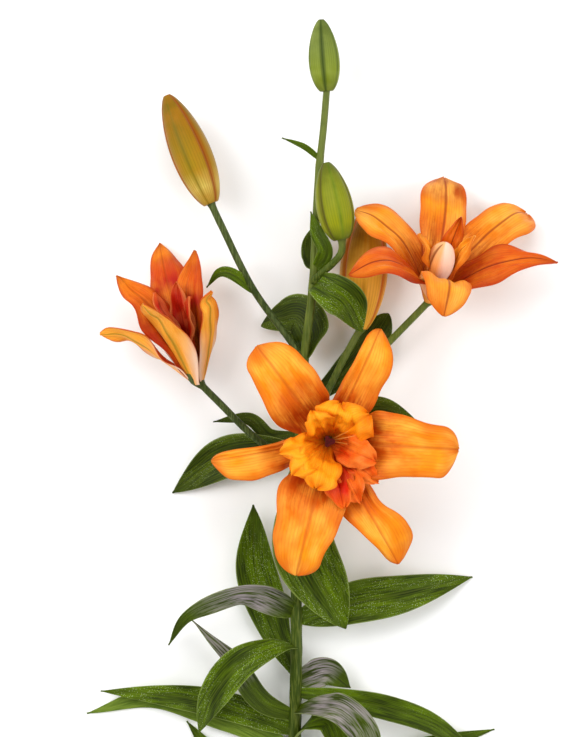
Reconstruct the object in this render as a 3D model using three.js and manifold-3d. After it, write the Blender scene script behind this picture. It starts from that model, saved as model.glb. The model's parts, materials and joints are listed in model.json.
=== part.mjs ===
// A cut double-flowered orange lily, lying on its back: one leafy stem, three open flowers and four buds.
// Millimetres. X runs across the plant, Y along the stem from the cut end to the top, and Z up.
// Every leaf, tepal, petaloid, stalk and bud is one solid that grew in one piece.
// Each piece is cut clear of all the pieces before it, so touching pieces always keep the same small gap.

import * as THREE from "three";
import Module from "manifold-3d";

const wasm = await Module();
wasm.setup();

// ---- Driving dimensions, mm ----
const GAP = 0.3; // clearance between a piece and what it grows from or leans on
const STEM_RADIUS_CUT = 4.1; // at the cut end
const STEM_RADIUS_TOP = 2.1; // under the top bud
const STALK_RADIUS = 2.2; // of a flower stalk or bud stalk
const RECEPTACLE_RADIUS = 5.2; // the swollen end of a flower stalk, which carries the tepals
const RECEPTACLE_HEIGHT = 9;
const PISTIL_RADIUS = 0.9;
const PISTIL_HEIGHT = 40; // above the receptacle's foot
const STIGMA_RADIUS = 3; // the three-lobed end of the pistil
const LEAF_THICKNESS = 0.9;
const TEPAL_THICKNESS = 1.3;
const LEAF_FOOT_WIDTH = 5; // where a leaf leaves the stem
const TEPAL_CLAW_WIDTH = 7; // where a tepal leaves the receptacle
const PETALOID_CLAW_WIDTH = 3.4;
const LEAF_WIDTH_SCALE = 1; // widens or narrows every leaf together
const TEPAL_WIDTH_SCALE = 1; // widens or narrows every tepal together
const TIP_WIDTH = 1.2; // the blunt end of a leaf or tepal
const TIP_ROUNDING = 0.13; // the share of a tepal's length over which its outline rounds off
const BUD_SEAM_DEPTH = 0.045; // how far the three seams dip, as a share of the bud's radius

// ---- Colours and finishes ----
const finish = (color, roughness) => new THREE.MeshStandardMaterial({ color, roughness, metalness: 0 });
const LEAF = finish(0x2f5e27, 0.45);
const STEM = finish(0x4f7038, 0.5);
const ORANGE_TEPAL = finish(0xf58a1f, 0.5);
const PETALOID = finish(0xee6a14, 0.5);
const CREAM = finish(0xf6dcb8, 0.5);
const PISTIL = finish(0x7a1f12, 0.5);
const GREEN_BUD = finish(0xa7b54a, 0.45);
const OLIVE_BUD = finish(0xb08a35, 0.45);
const ORANGE_BUD = finish(0xd98a26, 0.45);

const plant = new THREE.Group();
const v = (x, y, z) => new THREE.Vector3(x, y, z);

// ---- Closed surfaces ----

// A closed surface through rings of points that all have the same count, with a fan over each end.
function loft(rings) {
  const count = rings[0].length;
  const positions = [];
  const face = (a, b, c) => positions.push(a.x, a.y, a.z, b.x, b.y, b.z, c.x, c.y, c.z);
  for (let i = 0; i + 1 < rings.length; i++) {
    for (let j = 0; j < count; j++) {
      const k = (j + 1) % count;
      face(rings[i][j], rings[i][k], rings[i + 1][k]);
      face(rings[i][j], rings[i + 1][k], rings[i + 1][j]);
    }
  }
  const first = rings[0];
  const last = rings[rings.length - 1];
  for (let j = 1; j + 1 < count; j++) {
    face(first[0], first[j + 1], first[j]);
    face(last[0], last[j], last[j + 1]);
  }
  return solidOf(positions);
}

// The manifold solid of a list of triangle corners, turned the right way out.
function solidOf(positions) {
  const corners = new Map();
  const vertices = [];
  const triangles = [];
  for (let i = 0; i < positions.length; i += 3) {
    const point = positions.slice(i, i + 3);
    const key = point.map((c) => c.toFixed(4)).join();
    if (!corners.has(key)) {
      corners.set(key, corners.size);
      vertices.push(...point);
    }
    triangles.push(corners.get(key));
  }
  const build = (order) => {
    const triVerts = new Uint32Array(order);
    const vertProperties = new Float32Array(vertices);
    return new wasm.Manifold(new wasm.Mesh({ numProp: 3, vertProperties, triVerts }));
  };
  const solid = build(triangles);
  return solid.volume() > 0 ? solid : build(triangles.slice().reverse());
}

const clearances = []; // every placed piece, grown by the gap

// Adds a piece: the largest body that is left when the pieces before it, grown by the gap, are cut away.
function addPiece(name, solid, grown, material) {
  let left = solid;
  for (const taken of clearances) left = left.subtract(taken);
  const bodies = left.decompose();
  bodies.sort((a, b) => b.volume() - a.volume());
  const mesh = bodies[0].getMesh();
  const geometry = new THREE.BufferGeometry();
  geometry.setAttribute("position", new THREE.BufferAttribute(Float32Array.from(mesh.vertProperties), 3));
  geometry.setIndex(new THREE.BufferAttribute(Uint32Array.from(mesh.triVerts), 1));
  geometry.computeVertexNormals();
  const piece = new THREE.Mesh(geometry, material);
  piece.name = name;
  plant.add(piece);
  clearances.push(grown);
}

// ---- Stem and stalks ----

const RING_START = v(0.6, -0.35, -0.7); // no stalk runs along this direction, so rings can be laid from it
const smoothRoute = (points) => new THREE.CatmullRomCurve3(points, false, "catmullrom", 0.5);

// A round stalk along a route. radiusAt gives its radius at each share of its length.
function stalk(route, radiusAt, stations, sides, grow = 0) {
  const rings = [];
  for (let i = 0; i <= stations; i++) {
    const share = i / stations;
    const centre = route.getPointAt(share);
    const tangent = route.getTangentAt(share);
    const side = RING_START.clone().cross(tangent).normalize();
    const up = tangent.clone().cross(side);
    const radius = radiusAt(share) + grow;
    const ring = [];
    for (let j = 0; j < sides; j++) {
      const angle = (j / sides) * 2 * Math.PI;
      const offset = side.clone().multiplyScalar(radius * Math.cos(angle));
      offset.addScaledVector(up, radius * Math.sin(angle));
      ring.push(centre.clone().add(offset));
    }
    rings.push(ring);
  }
  return loft(rings);
}

const stemRoute = smoothRoute([
  v(-1, 0, 4.6),
  v(1, 70, 9),
  v(2, 125, 15),
  v(2, 180, 21),
  v(4, 248, 26),
  v(7, 305, 29),
  v(12, 346, 30),
  v(14, 384, 30),
  v(16, 420, 29),
  v(19, 449, 28),
  v(21, 471, 28),
]);
const stemRadius = (share) => THREE.MathUtils.lerp(STEM_RADIUS_CUT, STEM_RADIUS_TOP, share);
const STEM_STATIONS = 36;
const STEM_SIDES = 10;
addPiece(
  "main_stem",
  stalk(stemRoute, stemRadius, STEM_STATIONS, STEM_SIDES),
  stalk(stemRoute, stemRadius, STEM_STATIONS, STEM_SIDES, GAP),
  STEM,
);

// The point on a rising route's axis at a height along the plant.
function onRoute(route, y) {
  let low = 0;
  let high = 1;
  for (let i = 0; i < 30; i++) {
    const middle = (low + high) / 2;
    if (route.getPointAt(middle).y < y) low = middle;
    else high = middle;
  }
  return route.getPointAt(low);
}

const SWELLING_LENGTH = RECEPTACLE_HEIGHT * 1.6; // the stretch of stalk that thickens into the receptacle
const OPENED_BY = 0.74; // the share of that stretch after which it is at its full width
const DOME_SHARE = 0.2; // the last share of that stretch, which closes in over the top
const DOME_FLATNESS = 0.75; // 1 would close to a point
const STALK_SIDES = 9;
const STALK_STATION_SPACING = 7;

// A stalk from the stem to a bud or flower. A flower's stalk swells into its receptacle.
function growStalk(name, fromY, via, end, swells) {
  const route = smoothRoute([onRoute(stemRoute, fromY), ...via.map((p) => v(...p)), v(...end)]);
  const length = route.getLength();
  const radiusAt = (share) => {
    const rise = 1 - ((1 - share) * length) / SWELLING_LENGTH;
    if (!swells || rise < 0) return STALK_RADIUS;
    const opened = Math.sin((Math.min(1, rise / OPENED_BY) * Math.PI) / 2);
    const dome = Math.max(0, (rise - 1 + DOME_SHARE) / DOME_SHARE);
    const swollen = STALK_RADIUS + (RECEPTACLE_RADIUS - STALK_RADIUS) * opened;
    return swollen * Math.sqrt(1 - DOME_FLATNESS * dome ** 2);
  };
  const stations = Math.round(length / STALK_STATION_SPACING) + 6;
  const solid = stalk(route, radiusAt, stations, STALK_SIDES);
  addPiece(name, solid, stalk(route, radiusAt, stations, STALK_SIDES, GAP), STEM);
  return route;
}

// ---- Buds ----

const BUD_STATIONS = 12;
const BUD_SIDES = 12;
const BUD_BLUNTNESS = 0.55; // under 1 rounds the bud's outline out
const BUD_FOOT = 0.035; // where the outline starts and how far it runs, as shares of its full curve
const BUD_RUN = 0.95;
const BUD_END_RADIUS = 0.8;

// A closed form from the end of a stalk to its tip. Its three outer tepals meet in shallow seams.
function bud(name, route, tip, radius, fullest, material) {
  const seat = route.getPointAt(1);
  const axis = v(...tip).sub(seat).normalize();
  const start = seat.addScaledVector(axis, GAP);
  const length = v(...tip).distanceTo(start);
  const side = axis.clone().cross(v(0, 0, 1)).normalize();
  const up = side.clone().cross(axis);
  const curve = Math.log(0.5) / Math.log(fullest);
  const surface = (grow) => {
    const rings = [];
    for (let i = 0; i <= BUD_STATIONS; i++) {
      const share = i / BUD_STATIONS;
      const shaped = Math.sin(Math.PI * (BUD_FOOT + BUD_RUN * share) ** curve) ** BUD_BLUNTNESS;
      const ring = [];
      for (let j = 0; j < BUD_SIDES; j++) {
        const angle = (j / BUD_SIDES) * 2 * Math.PI;
        const seam = 1 - BUD_SEAM_DEPTH * (1 + Math.cos(3 * angle));
        const r = Math.max(radius * shaped * seam, BUD_END_RADIUS) + grow;
        const point = start.clone().addScaledVector(axis, share * length + (2 * share - 1) * grow);
        point.addScaledVector(side, r * Math.cos(angle)).addScaledVector(up, r * Math.sin(angle));
        ring.push(point);
      }
      rings.push(ring);
    }
    return loft(rings);
  };
  addPiece(name, surface(0), surface(GAP), material);
}

// ---- Blades: leaves, tepals and petaloids ----

// The reach of a drawn outline at a share of the length: rows of [share, reach to one side, to the other].
function reachAt(outline, share) {
  let row = 1;
  while (row < outline.length - 1 && outline[row][0] < share) row++;
  const [from, to] = [outline[row - 1], outline[row]];
  const part = THREE.MathUtils.clamp((share - from[0]) / (to[0] - from[0]), 0, 1);
  const end = THREE.MathUtils.clamp((share - 1 + TIP_ROUNDING) / TIP_ROUNDING, 0, 0.985);
  const rounded = Math.sqrt(1 - end ** 2);
  return [1, 2].map((k) => THREE.MathUtils.lerp(from[k], to[k], part) * rounded);
}

// A thin blade along a route. The shape holds its width, where it is widest, how blunt its outline is,
// the width of its foot, how far its edges lift (cup), its side direction and its roll at foot and tip.
// A drawn outline, where the shape holds one, gives the reach to each side instead of the width.
function blade(route, shape, thickness, grow = 0) {
  const { stations } = shape;
  const power = Math.log(0.5) / Math.log(shape.widest);
  const rings = [];
  for (let i = 0; i <= stations; i++) {
    // Stations close up towards the tip of a drawn outline, where it rounds off.
    const even = i / stations;
    const share = shape.outline ? 1 - (1 - even) ** 1.4 : even;
    const centre = route.getPointAt(share);
    const tangent = route.getTangentAt(share);
    const side = shape.side.clone().addScaledVector(tangent, -shape.side.dot(tangent)).normalize();
    const roll = THREE.MathUtils.degToRad(THREE.MathUtils.lerp(shape.roll[0], shape.roll[1], share));
    side.applyAxisAngle(tangent, roll);
    const normal = side.clone().cross(tangent);
    const oval = shape.width * Math.sin(Math.PI * share ** power) ** shape.blunt;
    const width = oval + shape.foot * (1 - share) ** 3;
    const reaches = shape.outline ? reachAt(shape.outline, share) : [width / 2, width / 2];
    const half = reaches.map((reach) => Math.max(reach * shape.scale, TIP_WIDTH / 2) + grow);
    const at = (across, lift) => {
      const out = (across < 0 ? half[0] : half[1]) * across;
      const point = centre.clone().addScaledVector(side, out);
      return point.addScaledVector(normal, shape.cup * out * across + lift);
    };
    const skin = (across) => (thickness / 2) * (1 - 0.4 * across * across) + grow;
    const across = [-1, -0.5, 0, 0.5, 1];
    const upper = across.map((u) => at(u, skin(u)));
    const lower = across.map((u) => at(u, -skin(u))).reverse();
    rings.push([...upper, ...lower]);
  }
  return loft(rings);
}

// A leaf grows from the stem, or from a stalk, at a height, along a midrib through the given points.
function leaf(name, fromY, midrib, width, options = {}) {
  const foot = onRoute(options.from ?? stemRoute, fromY);
  const points = [foot, ...midrib.map((p) => v(...p))];
  const route = smoothRoute(points);
  const face = v(...(options.face ?? [0, 0, 1]));
  const chord = points[points.length - 1].clone().sub(foot).normalize();
  const shape = {
    width,
    scale: LEAF_WIDTH_SCALE,
    widest: options.widest ?? 0.45,
    blunt: options.blunt ?? 0.9,
    foot: options.foot ?? LEAF_FOOT_WIDTH,
    cup: options.cup ?? 0.18,
    roll: options.roll ?? [0, 0],
    stations: options.stations ?? 8,
    side: chord.cross(face),
  };
  addPiece(name, blade(route, shape, LEAF_THICKNESS), blade(route, shape, LEAF_THICKNESS, GAP), LEAF);
}

// A tepal or petaloid rises from the receptacle beside the flower's axis and spreads to its tip.
// crest is how far its highest stretch stands above the receptacle's foot, along the axis.
function petal(name, flower, tip, width, crest, options = {}) {
  const axis = v(...flower.axis).normalize();
  const foot = v(...flower.foot);
  const reach = v(...tip).sub(foot);
  const height = reach.dot(axis);
  reach.addScaledVector(axis, -height);
  const radius = reach.length();
  const outward = reach.normalize();
  const along = (r, h) => foot.clone().addScaledVector(outward, r).addScaledVector(axis, h);
  const start = options.start ?? [RECEPTACLE_RADIUS * 0.6, RECEPTACLE_HEIGHT * 0.15];
  const rise = options.rise ?? 0.2;
  const route = smoothRoute([
    along(start[0], start[1]),
    along(start[0] + (radius - start[0]) * rise, start[1] + (crest - start[1]) * 0.48),
    along(start[0] + (radius - start[0]) * (rise + 0.27), start[1] + (crest - start[1]) * 0.86),
    along(radius * 0.78, crest),
    v(...tip),
  ]);
  const shape = {
    width,
    scale: TEPAL_WIDTH_SCALE,
    outline: options.outline,
    widest: options.widest ?? 0.6,
    blunt: options.blunt ?? 0.75,
    foot: options.claw ?? TEPAL_CLAW_WIDTH,
    cup: options.cup ?? 0.15,
    roll: options.roll ?? [0, 0],
    stations: options.stations ?? (options.outline ? 12 : 9),
    side: outward.clone().cross(axis),
  };
  const material = options.material ?? ORANGE_TEPAL;
  addPiece(name, blade(route, shape, TEPAL_THICKNESS), blade(route, shape, TEPAL_THICKNESS, GAP), material);
}

// ---- Flower stalks and bud stalks ----
const frontFlower = { foot: [22, 254, 44], axis: [0, 0, 1] };
const rightFlower = { foot: [86, 342, 28], axis: [0.22, 0.68, 0.7] };
const leftFlower = { foot: [-59.5, 291, 28], axis: [-0.3, 0.86, 0.42] };

// The end of a flower's stalk, at the top of its receptacle.
const receptacleTop = (flower) => {
  const axis = v(...flower.axis).normalize();
  return v(...flower.foot).addScaledVector(axis, RECEPTACLE_HEIGHT).toArray();
};
const receptacleFoot = (flower) => v(...flower.foot).toArray();

growStalk(
  "stalk_front_flower", 226,
  [[12, 244, 33], receptacleFoot(frontFlower)],
  receptacleTop(frontFlower), true,
);
const rightStalk = growStalk(
  "stalk_right_flower", 246,
  [[22, 272, 27], [42, 296, 26], [61, 316, 25], receptacleFoot(rightFlower)],
  receptacleTop(rightFlower), true,
);
growStalk(
  "stalk_left_flower", 236,
  [[-15.5, 249, 27], [-29, 260, 28], [-45, 276, 27], receptacleFoot(leftFlower)],
  receptacleTop(leftFlower), true,
);
const orangeBudStalk = growStalk(
  "stalk_orange_bud", 262,
  [[17, 275, 23], [23, 287, 20], [33, 307, 18]],
  [41.5, 322, 18], false,
);
const upperLeftStalk = growStalk(
  "stalk_upper_left_bud", 302,
  [[-2, 316, 29], [-25, 348, 28], [-44, 386, 27]],
  [-51, 401, 26], false,
);
const secondBudStalk = growStalk(
  "stalk_second_bud", 352,
  [[17, 357, 35], [25, 364, 40], [30, 371, 43]],
  [30, 378, 44], false,
);

// ---- Buds ----
bud("bud_top", stemRoute, [17.5, 516, 28], 9.6, 0.42, GREEN_BUD);
bud("bud_second", secondBudStalk, [20.5, 426, 44], 11.4, 0.42, GREEN_BUD);
bud("bud_upper_left", upperLeftStalk, [-79, 469, 24], 12.4, 0.45, OLIVE_BUD);
bud("bud_orange", orangeBudStalk, [47, 398, 18], 15, 0.5, ORANGE_BUD);

// ---- Pistil of the front flower ----
const upFrontAxis = (height) => v(...frontFlower.foot).addScaledVector(v(...frontFlower.axis), height);
const pistilHeights = [RECEPTACLE_HEIGHT * 0.5, PISTIL_HEIGHT * 0.6, PISTIL_HEIGHT];
const pistilRoute = smoothRoute(pistilHeights.map(upFrontAxis));
const PISTIL_STATIONS = 10;
const PISTIL_SIDES = 9;
const pistilRadius = (share) => (share > 0.86 ? STIGMA_RADIUS : PISTIL_RADIUS);
addPiece(
  "pistil_front",
  stalk(pistilRoute, pistilRadius, PISTIL_STATIONS, PISTIL_SIDES),
  stalk(pistilRoute, pistilRadius, PISTIL_STATIONS, PISTIL_SIDES, GAP),
  PISTIL,
);

// ---- Front flower: three wide and three narrow tepals, then a double crown of petaloids ----
petal("front_tepal_upper_left", frontFlower, [-22, 312, 74], 38, 37, {
  outline: [
    [0, 3.5, 3.5], [0.2, 10, 10], [0.38, 20, 18], [0.6, 18.5, 19], [0.78, 15, 18.5],
    [0.9, 13, 14], [1, 13, 7],
  ],
});
petal("front_tepal_right", frontFlower, [101, 249, 76], 44, 38, {
  outline: [
    [0, 3.5, 3.5], [0.25, 14, 14], [0.42, 21, 22], [0.56, 20, 20], [0.7, 16, 18.5], [0.8, 13.5, 18],
    [0.9, 14, 17.5], [1, 15, 15],
  ],
});
petal("front_tepal_bottom", frontFlower, [1.9, 172, 74], 38, 36, {
  outline: [
    [0, 3.5, 3.5], [0.22, 12, 12], [0.43, 20, 24], [0.54, 20, 23], [0.65, 17.5, 20.5], [0.79, 14, 18.5],
    [0.9, 13, 16], [1, 12, 13],
  ],
});
const outerStart = [RECEPTACLE_RADIUS * 0.6, -1];
petal("front_tepal_upper_right", frontFlower, [53.5, 322.5, 68], 29, 30, {
  start: outerStart,
  outline: [
    [0, 3.5, 3.5], [0.25, 9, 12], [0.45, 8, 17], [0.6, 7.5, 15], [0.73, 6.5, 18.5], [0.82, 6, 15],
    [0.9, 6, 10], [1, 6, 6],
  ],
});
petal("front_tepal_lower_right", frontFlower, [64.5, 178.5, 62], 31, 27, {
  start: outerStart,
  outline: [
    [0, 3.5, 3.5], [0.25, 8, 12], [0.45, 9, 16], [0.56, 9, 14], [0.64, 13, 11.5], [0.7, 17, 10],
    [0.78, 18, 7.5], [0.87, 16, 5.5], [1, 9, 5],
  ],
});
petal("front_tepal_left", frontFlower, [-50, 242, 68], 25, 29, {
  start: outerStart,
  outline: [
    [0, 3.5, 3.5], [0.3, 10, 6], [0.5, 14, 4], [0.7, 16, 4], [0.82, 15.5, 4.5], [0.9, 12, 4.5], [1, 5, 4],
  ],
});

const petaloid = {
  start: [2.6, RECEPTACLE_HEIGHT * 0.8],
  claw: PETALOID_CLAW_WIDTH,
  material: PETALOID,
  rise: 0.28,
  stations: 7,
};
const round = { ...petaloid, blunt: 0.5 };
const broad = {
  ...petaloid, stations: 9,
  outline: [[0, 2, 2], [0.3, 6, 6], [0.55, 11, 11], [0.75, 13, 13], [0.9, 11.5, 11.5], [1, 8, 8]],
};
petal("front_petaloid_upper_left", frontFlower, [11.5, 272.5, 83], 20, 41, round);
petal("front_petaloid_upper_right", frontFlower, [46.5, 270.5, 80], 25, 38, broad);
petal("front_petaloid_right", frontFlower, [50, 242, 80], 20, 40, round);
petal("front_petaloid_lower_right", frontFlower, [31, 213, 78], 18, 36, round);
petal("front_petaloid_lower", frontFlower, [14, 225.5, 86], 24, 45, broad);
petal("front_petaloid_left", frontFlower, [-7.5, 247, 82], 17, 42, round);

// ---- Right flower: tilted towards the top of the plant, round a cream folded centre ----
bud("right_centre_petaloid", rightStalk, [93.5, 375, 61], 8.4, 0.62, CREAM);
petal("right_tepal_top", rightFlower, [95, 418, 5], 31, 42, {
  outline: [
    [0, 3.5, 3.5], [0.3, 11, 10], [0.55, 16, 13.5], [0.68, 17, 14.5], [0.78, 15.5, 13],
    [0.88, 12, 10], [1, 9, 7],
  ],
});
petal("right_tepal_lower_left", rightFlower, [34, 355, 82], 26, 44);
petal("right_tepal_right", rightFlower, [164, 364, 40], 25, 42, {
  start: outerStart, widest: 0.45, blunt: 0.9,
});
petal("right_tepal_upper_left", rightFlower, [39, 397, 40], 27, 37, {
  start: outerStart,
  outline: [[0, 3.5, 3.5], [0.3, 8, 9], [0.55, 11, 14], [0.75, 12.5, 15], [0.9, 11, 12], [1, 8, 8]],
});
petal("right_tepal_upper_right", rightFlower, [147, 396, 1.6], 30, 39, {
  outline: [[0, 3.5, 3.5], [0.3, 10, 10], [0.55, 14, 15], [0.75, 14, 16], [0.88, 12, 15], [1, 9, 12]],
});
petal("right_tepal_bottom", rightFlower, [91.5, 330, 92], 27, 50, {
  start: outerStart,
  outline: [[0, 3.5, 3.5], [0.3, 10, 13], [0.55, 15, 17], [0.75, 15, 17], [0.9, 10, 12], [1, 6, 6]],
});

// ---- Left flower: half open, its tepals still standing up ----
petal("left_tepal_centre", leftFlower, [-84, 377, 1.2], 25, 66, { widest: 0.55 });
petal("left_tepal_inner_right", leftFlower, [-61, 372, 26], 24, 62, { widest: 0.55 });
petal("left_tepal_inner_left", leftFlower, [-110, 356, 34], 26, 64, { widest: 0.55 });
petal("left_tepal_outer_left", leftFlower, [-120, 320, 36], 20, 44, {
  start: outerStart, rise: 0.3, roll: [20, 70],
});
petal("left_tepal_front", leftFlower, [-92, 338, 66], 36, 57, {
  start: outerStart,
  outline: [
    [0, 3.5, 3.5], [0.2, 10, 13], [0.4, 17, 18], [0.55, 18, 17], [0.75, 13, 12], [0.9, 8, 8], [1, 4, 4],
  ],
});
petal("left_tepal_outer_right", leftFlower, [-50, 346, 52], 24, 50, {
  start: outerStart, rise: 0.5, widest: 0.5, roll: [-20, -40],
});
petal("left_petaloid", leftFlower, [-72, 352, 42], 15, 58, petaloid);

// ---- Leaves, from the cut end upwards ----
leaf("leaf_01_right", 22, [[40, 42, 4], [85, 60, 3], [127, 71, 1]], 17, { cup: 0.12 });
leaf("leaf_02_left", 18, [[-24, 36, 6], [-48, 54, 3.5], [-67, 76, 1]], 15, { cup: 0.12 });
leaf("leaf_03_left_pale", 58, [[-40, 78, 6], [-85, 91, 2.5], [-130, 81, 1]], 17, { cup: 0.1 });
leaf("leaf_04_left_long", 71, [[-30, 83, 13], [-66, 92, 14], [-121, 95.5, 6]], 17, {
  widest: 0.42, cup: 0.15,
});
leaf("leaf_05_right_low", 66, [[12, 77, 20], [23, 78, 24], [30, 58, 17], [31, 38, 8]], 15);
leaf("leaf_06_left_thin", 80, [[-20, 90, 16], [-38, 115, 22], [-63, 141, 22]], 14, { roll: [0, 55] });
leaf("leaf_07_right_arch", 84, [[16, 88, 32], [32, 86, 43], [46, 68, 34], [50, 36, 8]], 19, {
  widest: 0.5,
});
leaf("leaf_08_right_long", 95, [[32, 92, 22], [60, 86, 22], [90, 74, 14], [119, 52, 2.5]], 15, {
  widest: 0.5,
});
leaf("leaf_09_behind_right", 102, [[12, 106, 14], [23, 108, 16], [36, 98, 12]], 18, {
  foot: 4, face: [-0.4, 0, 1],
});
leaf("leaf_10_behind_left", 106, [[-10, 130, 7], [-23, 172, 8], [-25, 213, 14]], 26, { widest: 0.55 });
leaf("leaf_11_front_droop", 124, [[-11, 125, 32], [-33, 115, 40], [-50, 94, 29], [-59, 70, 12]], 21, {
  widest: 0.55, roll: [25, -8],
});
leaf("leaf_12_right_broad", 142, [[35, 151, 20], [70, 158, 17], [113, 167, 1.5]], 26, { widest: 0.42 });
leaf("leaf_13_left_twist", 146, [[-24, 158, 38], [-44, 155, 38], [-66, 144, 26], [-78, 125, 13]], 17, {
  roll: [-35, -50], widest: 0.35,
});
leaf("leaf_14_front_hanging", 242, [[5, 212, 40], [9, 182, 38], [33, 136, 24]], 39, {
  widest: 0.55, blunt: 0.8,
});
leaf("leaf_15_left_broad", 247, [[-16, 247, 17], [-45, 241, 9], [-76, 220, 1.5]], 26, { widest: 0.5 });
leaf("leaf_16_right_upper", 254, [[30, 268, 38], [55, 274, 42], [80, 263, 36]], 16);
leaf("leaf_17_behind_right_upper", 276, [[22, 287, 13], [40, 303, 10], [51, 318, 10], [60, 333, 12]], 22, {
  widest: 0.7, blunt: 0.6,
});
leaf("leaf_18_behind_curled", 303, [[11, 318, 20], [4, 331, 16], [-7, 330, 12], [-20, 325, 7]], 28, {
  widest: 0.45, blunt: 0.7,
});
leaf("leaf_19_bud_foot", 350, [[18, 349, 40], [33, 340, 42], [43, 321, 34]], 24, { widest: 0.5 });
leaf("leaf_20_cupped", 360, [[12, 367, 21], [12, 378, 18], [15, 388, 20]], 13, { blunt: 0.6, foot: 4 });
leaf("bract_stem", 429, [[6, 437, 31], [-7, 442, 30]], 3.4, { foot: 2.4 });
leaf("bract_bud_stalk", 346, [[-37, 357, 29], [-46, 358, 26], [-54, 349, 22]], 7, {
  from: upperLeftStalk, foot: 3,
});

// The origin is the middle of the underside of the whole plant's box.
const box = new THREE.Box3().setFromObject(plant);
const middle = box.getCenter(new THREE.Vector3());
plant.position.set(-middle.x, -middle.y, -box.min.z);

export default plant;
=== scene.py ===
import json
import math

import bmesh
import bpy
import numpy as np
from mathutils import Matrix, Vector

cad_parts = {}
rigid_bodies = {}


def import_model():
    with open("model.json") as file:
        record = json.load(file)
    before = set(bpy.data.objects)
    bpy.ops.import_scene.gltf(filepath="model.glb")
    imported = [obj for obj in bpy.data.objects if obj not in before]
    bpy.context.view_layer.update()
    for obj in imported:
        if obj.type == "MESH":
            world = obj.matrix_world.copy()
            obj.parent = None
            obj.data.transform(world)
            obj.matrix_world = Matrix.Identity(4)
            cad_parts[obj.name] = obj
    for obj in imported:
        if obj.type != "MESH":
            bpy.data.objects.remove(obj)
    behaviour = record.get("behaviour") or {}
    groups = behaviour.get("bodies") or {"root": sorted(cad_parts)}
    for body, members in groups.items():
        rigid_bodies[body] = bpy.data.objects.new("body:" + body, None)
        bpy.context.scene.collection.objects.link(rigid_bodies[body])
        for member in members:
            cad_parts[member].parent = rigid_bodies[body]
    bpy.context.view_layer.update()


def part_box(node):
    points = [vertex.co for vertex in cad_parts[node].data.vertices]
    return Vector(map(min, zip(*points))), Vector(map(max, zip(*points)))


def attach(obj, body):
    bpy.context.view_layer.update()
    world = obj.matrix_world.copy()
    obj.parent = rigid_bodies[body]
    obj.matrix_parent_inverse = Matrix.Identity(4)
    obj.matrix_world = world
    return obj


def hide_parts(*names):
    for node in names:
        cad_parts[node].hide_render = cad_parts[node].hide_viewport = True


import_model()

# ---- Camera, floor and light ----
# The plant lies on a pale table. The camera looks straight down on it, with the top of the plant up.
# Soft boxes to the left, the right and the top and a white surround leave only faint shadows.

PLANT_FROM_ABOVE = 0.457  # the height of the view, at the height of the leaves
LEAF_LEVEL = 0.040
CAMERA_HEIGHT = 2.4
SENSOR = 36.0
VIEW_MIDDLE = [0.6, 298.4, 0]  # in the plant's own millimetres
TABLE_SIZE = 6

# The plant's own millimetres start at the cut end of the stem, and the CAD stem says where that lies.
CUT_CORNER = np.array([-5.075, -0.276, 0.598])  # the low corner of the stem's box
cut_corner_in_frame = np.array(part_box("main_stem")[0])


def metres(points):
    """Points in the plant's own millimetres, turned into metres in the shared frame."""
    return (np.asarray(points, float) - CUT_CORNER) * 0.001 + cut_corner_in_frame


scene = bpy.context.scene
camera = bpy.data.objects.new("camera", bpy.data.cameras.new("camera"))
scene.collection.objects.link(camera)
camera.location = (*metres(VIEW_MIDDLE)[:2], CAMERA_HEIGHT)
camera.data.sensor_width = SENSOR
camera.data.lens = SENSOR * (CAMERA_HEIGHT - LEAF_LEVEL) / PLANT_FROM_ABOVE
camera.data.clip_end = 20
scene.camera = camera
scene.view_settings.view_transform = "Standard"


def hex_colour(text):
    """A hex sRGB colour as linear red, green, blue and alpha."""
    channels = [int(text[i : i + 2], 16) / 255 for i in (1, 3, 5)]
    return (*[c / 12.92 if c <= 0.04045 else ((c + 0.055) / 1.055) ** 2.4 for c in channels], 1.0)


def add(tree, kind, inputs=None, stops=None, **settings):
    """Adds a node with its settings. Each input takes a value, or a socket to link."""
    node = tree.nodes.new(kind)
    for key, value in settings.items():
        setattr(node, key, value)
    for socket, value in (inputs or {}).items():
        if isinstance(value, bpy.types.NodeSocket):
            tree.links.new(value, node.inputs[socket])
        else:
            node.inputs[socket].default_value = value
    if stops:
        ramp = node.color_ramp
        while len(ramp.elements) < len(stops):
            ramp.elements.new(1.0)
        for element, (position, colour) in zip(ramp.elements, stops):
            element.position = position
            element.color = hex_colour(colour) if isinstance(colour, str) else (colour, colour, colour, 1)
    return node


def new_material(name):
    """A named material with one Principled BSDF, and its node tree."""
    material = bpy.data.materials.new(name)
    material.use_nodes = True
    return material, material.node_tree, material.node_tree.nodes["Principled BSDF"]


# Pale matt table top, sprayed board.
table, tree, shader = new_material("pale matt board")
grain = add(tree, "ShaderNodeTexNoise", {"Scale": 60.0})
tint = add(tree, "ShaderNodeValToRGB", {"Fac": grain.outputs["Fac"]}, [(0.3, "#f8f8f8"), (0.7, "#fbfbfb")])
tree.links.new(tint.outputs["Color"], shader.inputs["Base Color"])
shader.inputs["Roughness"].default_value = 0.9
bpy.ops.mesh.primitive_plane_add(size=TABLE_SIZE, location=(0, 0, 0))
floor = bpy.context.object
floor.name = "table_top"
floor.data.materials.append(table)

for name, place, size, power in (
    ("soft_box_left", (-1.6, 0.6, 2.0), 1.7, 40),
    ("soft_box_right", (1.7, -0.2, 1.8), 1.5, 24),
    ("soft_box_top", (0.1, 1.6, 2.4), 1.5, 22),
):
    light = bpy.data.objects.new(name, bpy.data.lights.new(name, "AREA"))
    scene.collection.objects.link(light)
    light.location = place
    light.rotation_euler = (-light.location).to_track_quat("-Z", "Y").to_euler()
    light.data.size = size
    light.data.energy = power
world = bpy.data.worlds.new("white_surround")
world.use_nodes = True
surround = world.node_tree.nodes["Background"]
around = add(world.node_tree, "ShaderNodeTexCoord")
spread = add(world.node_tree, "ShaderNodeSeparateXYZ", {0: around.outputs["Generated"]})
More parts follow.
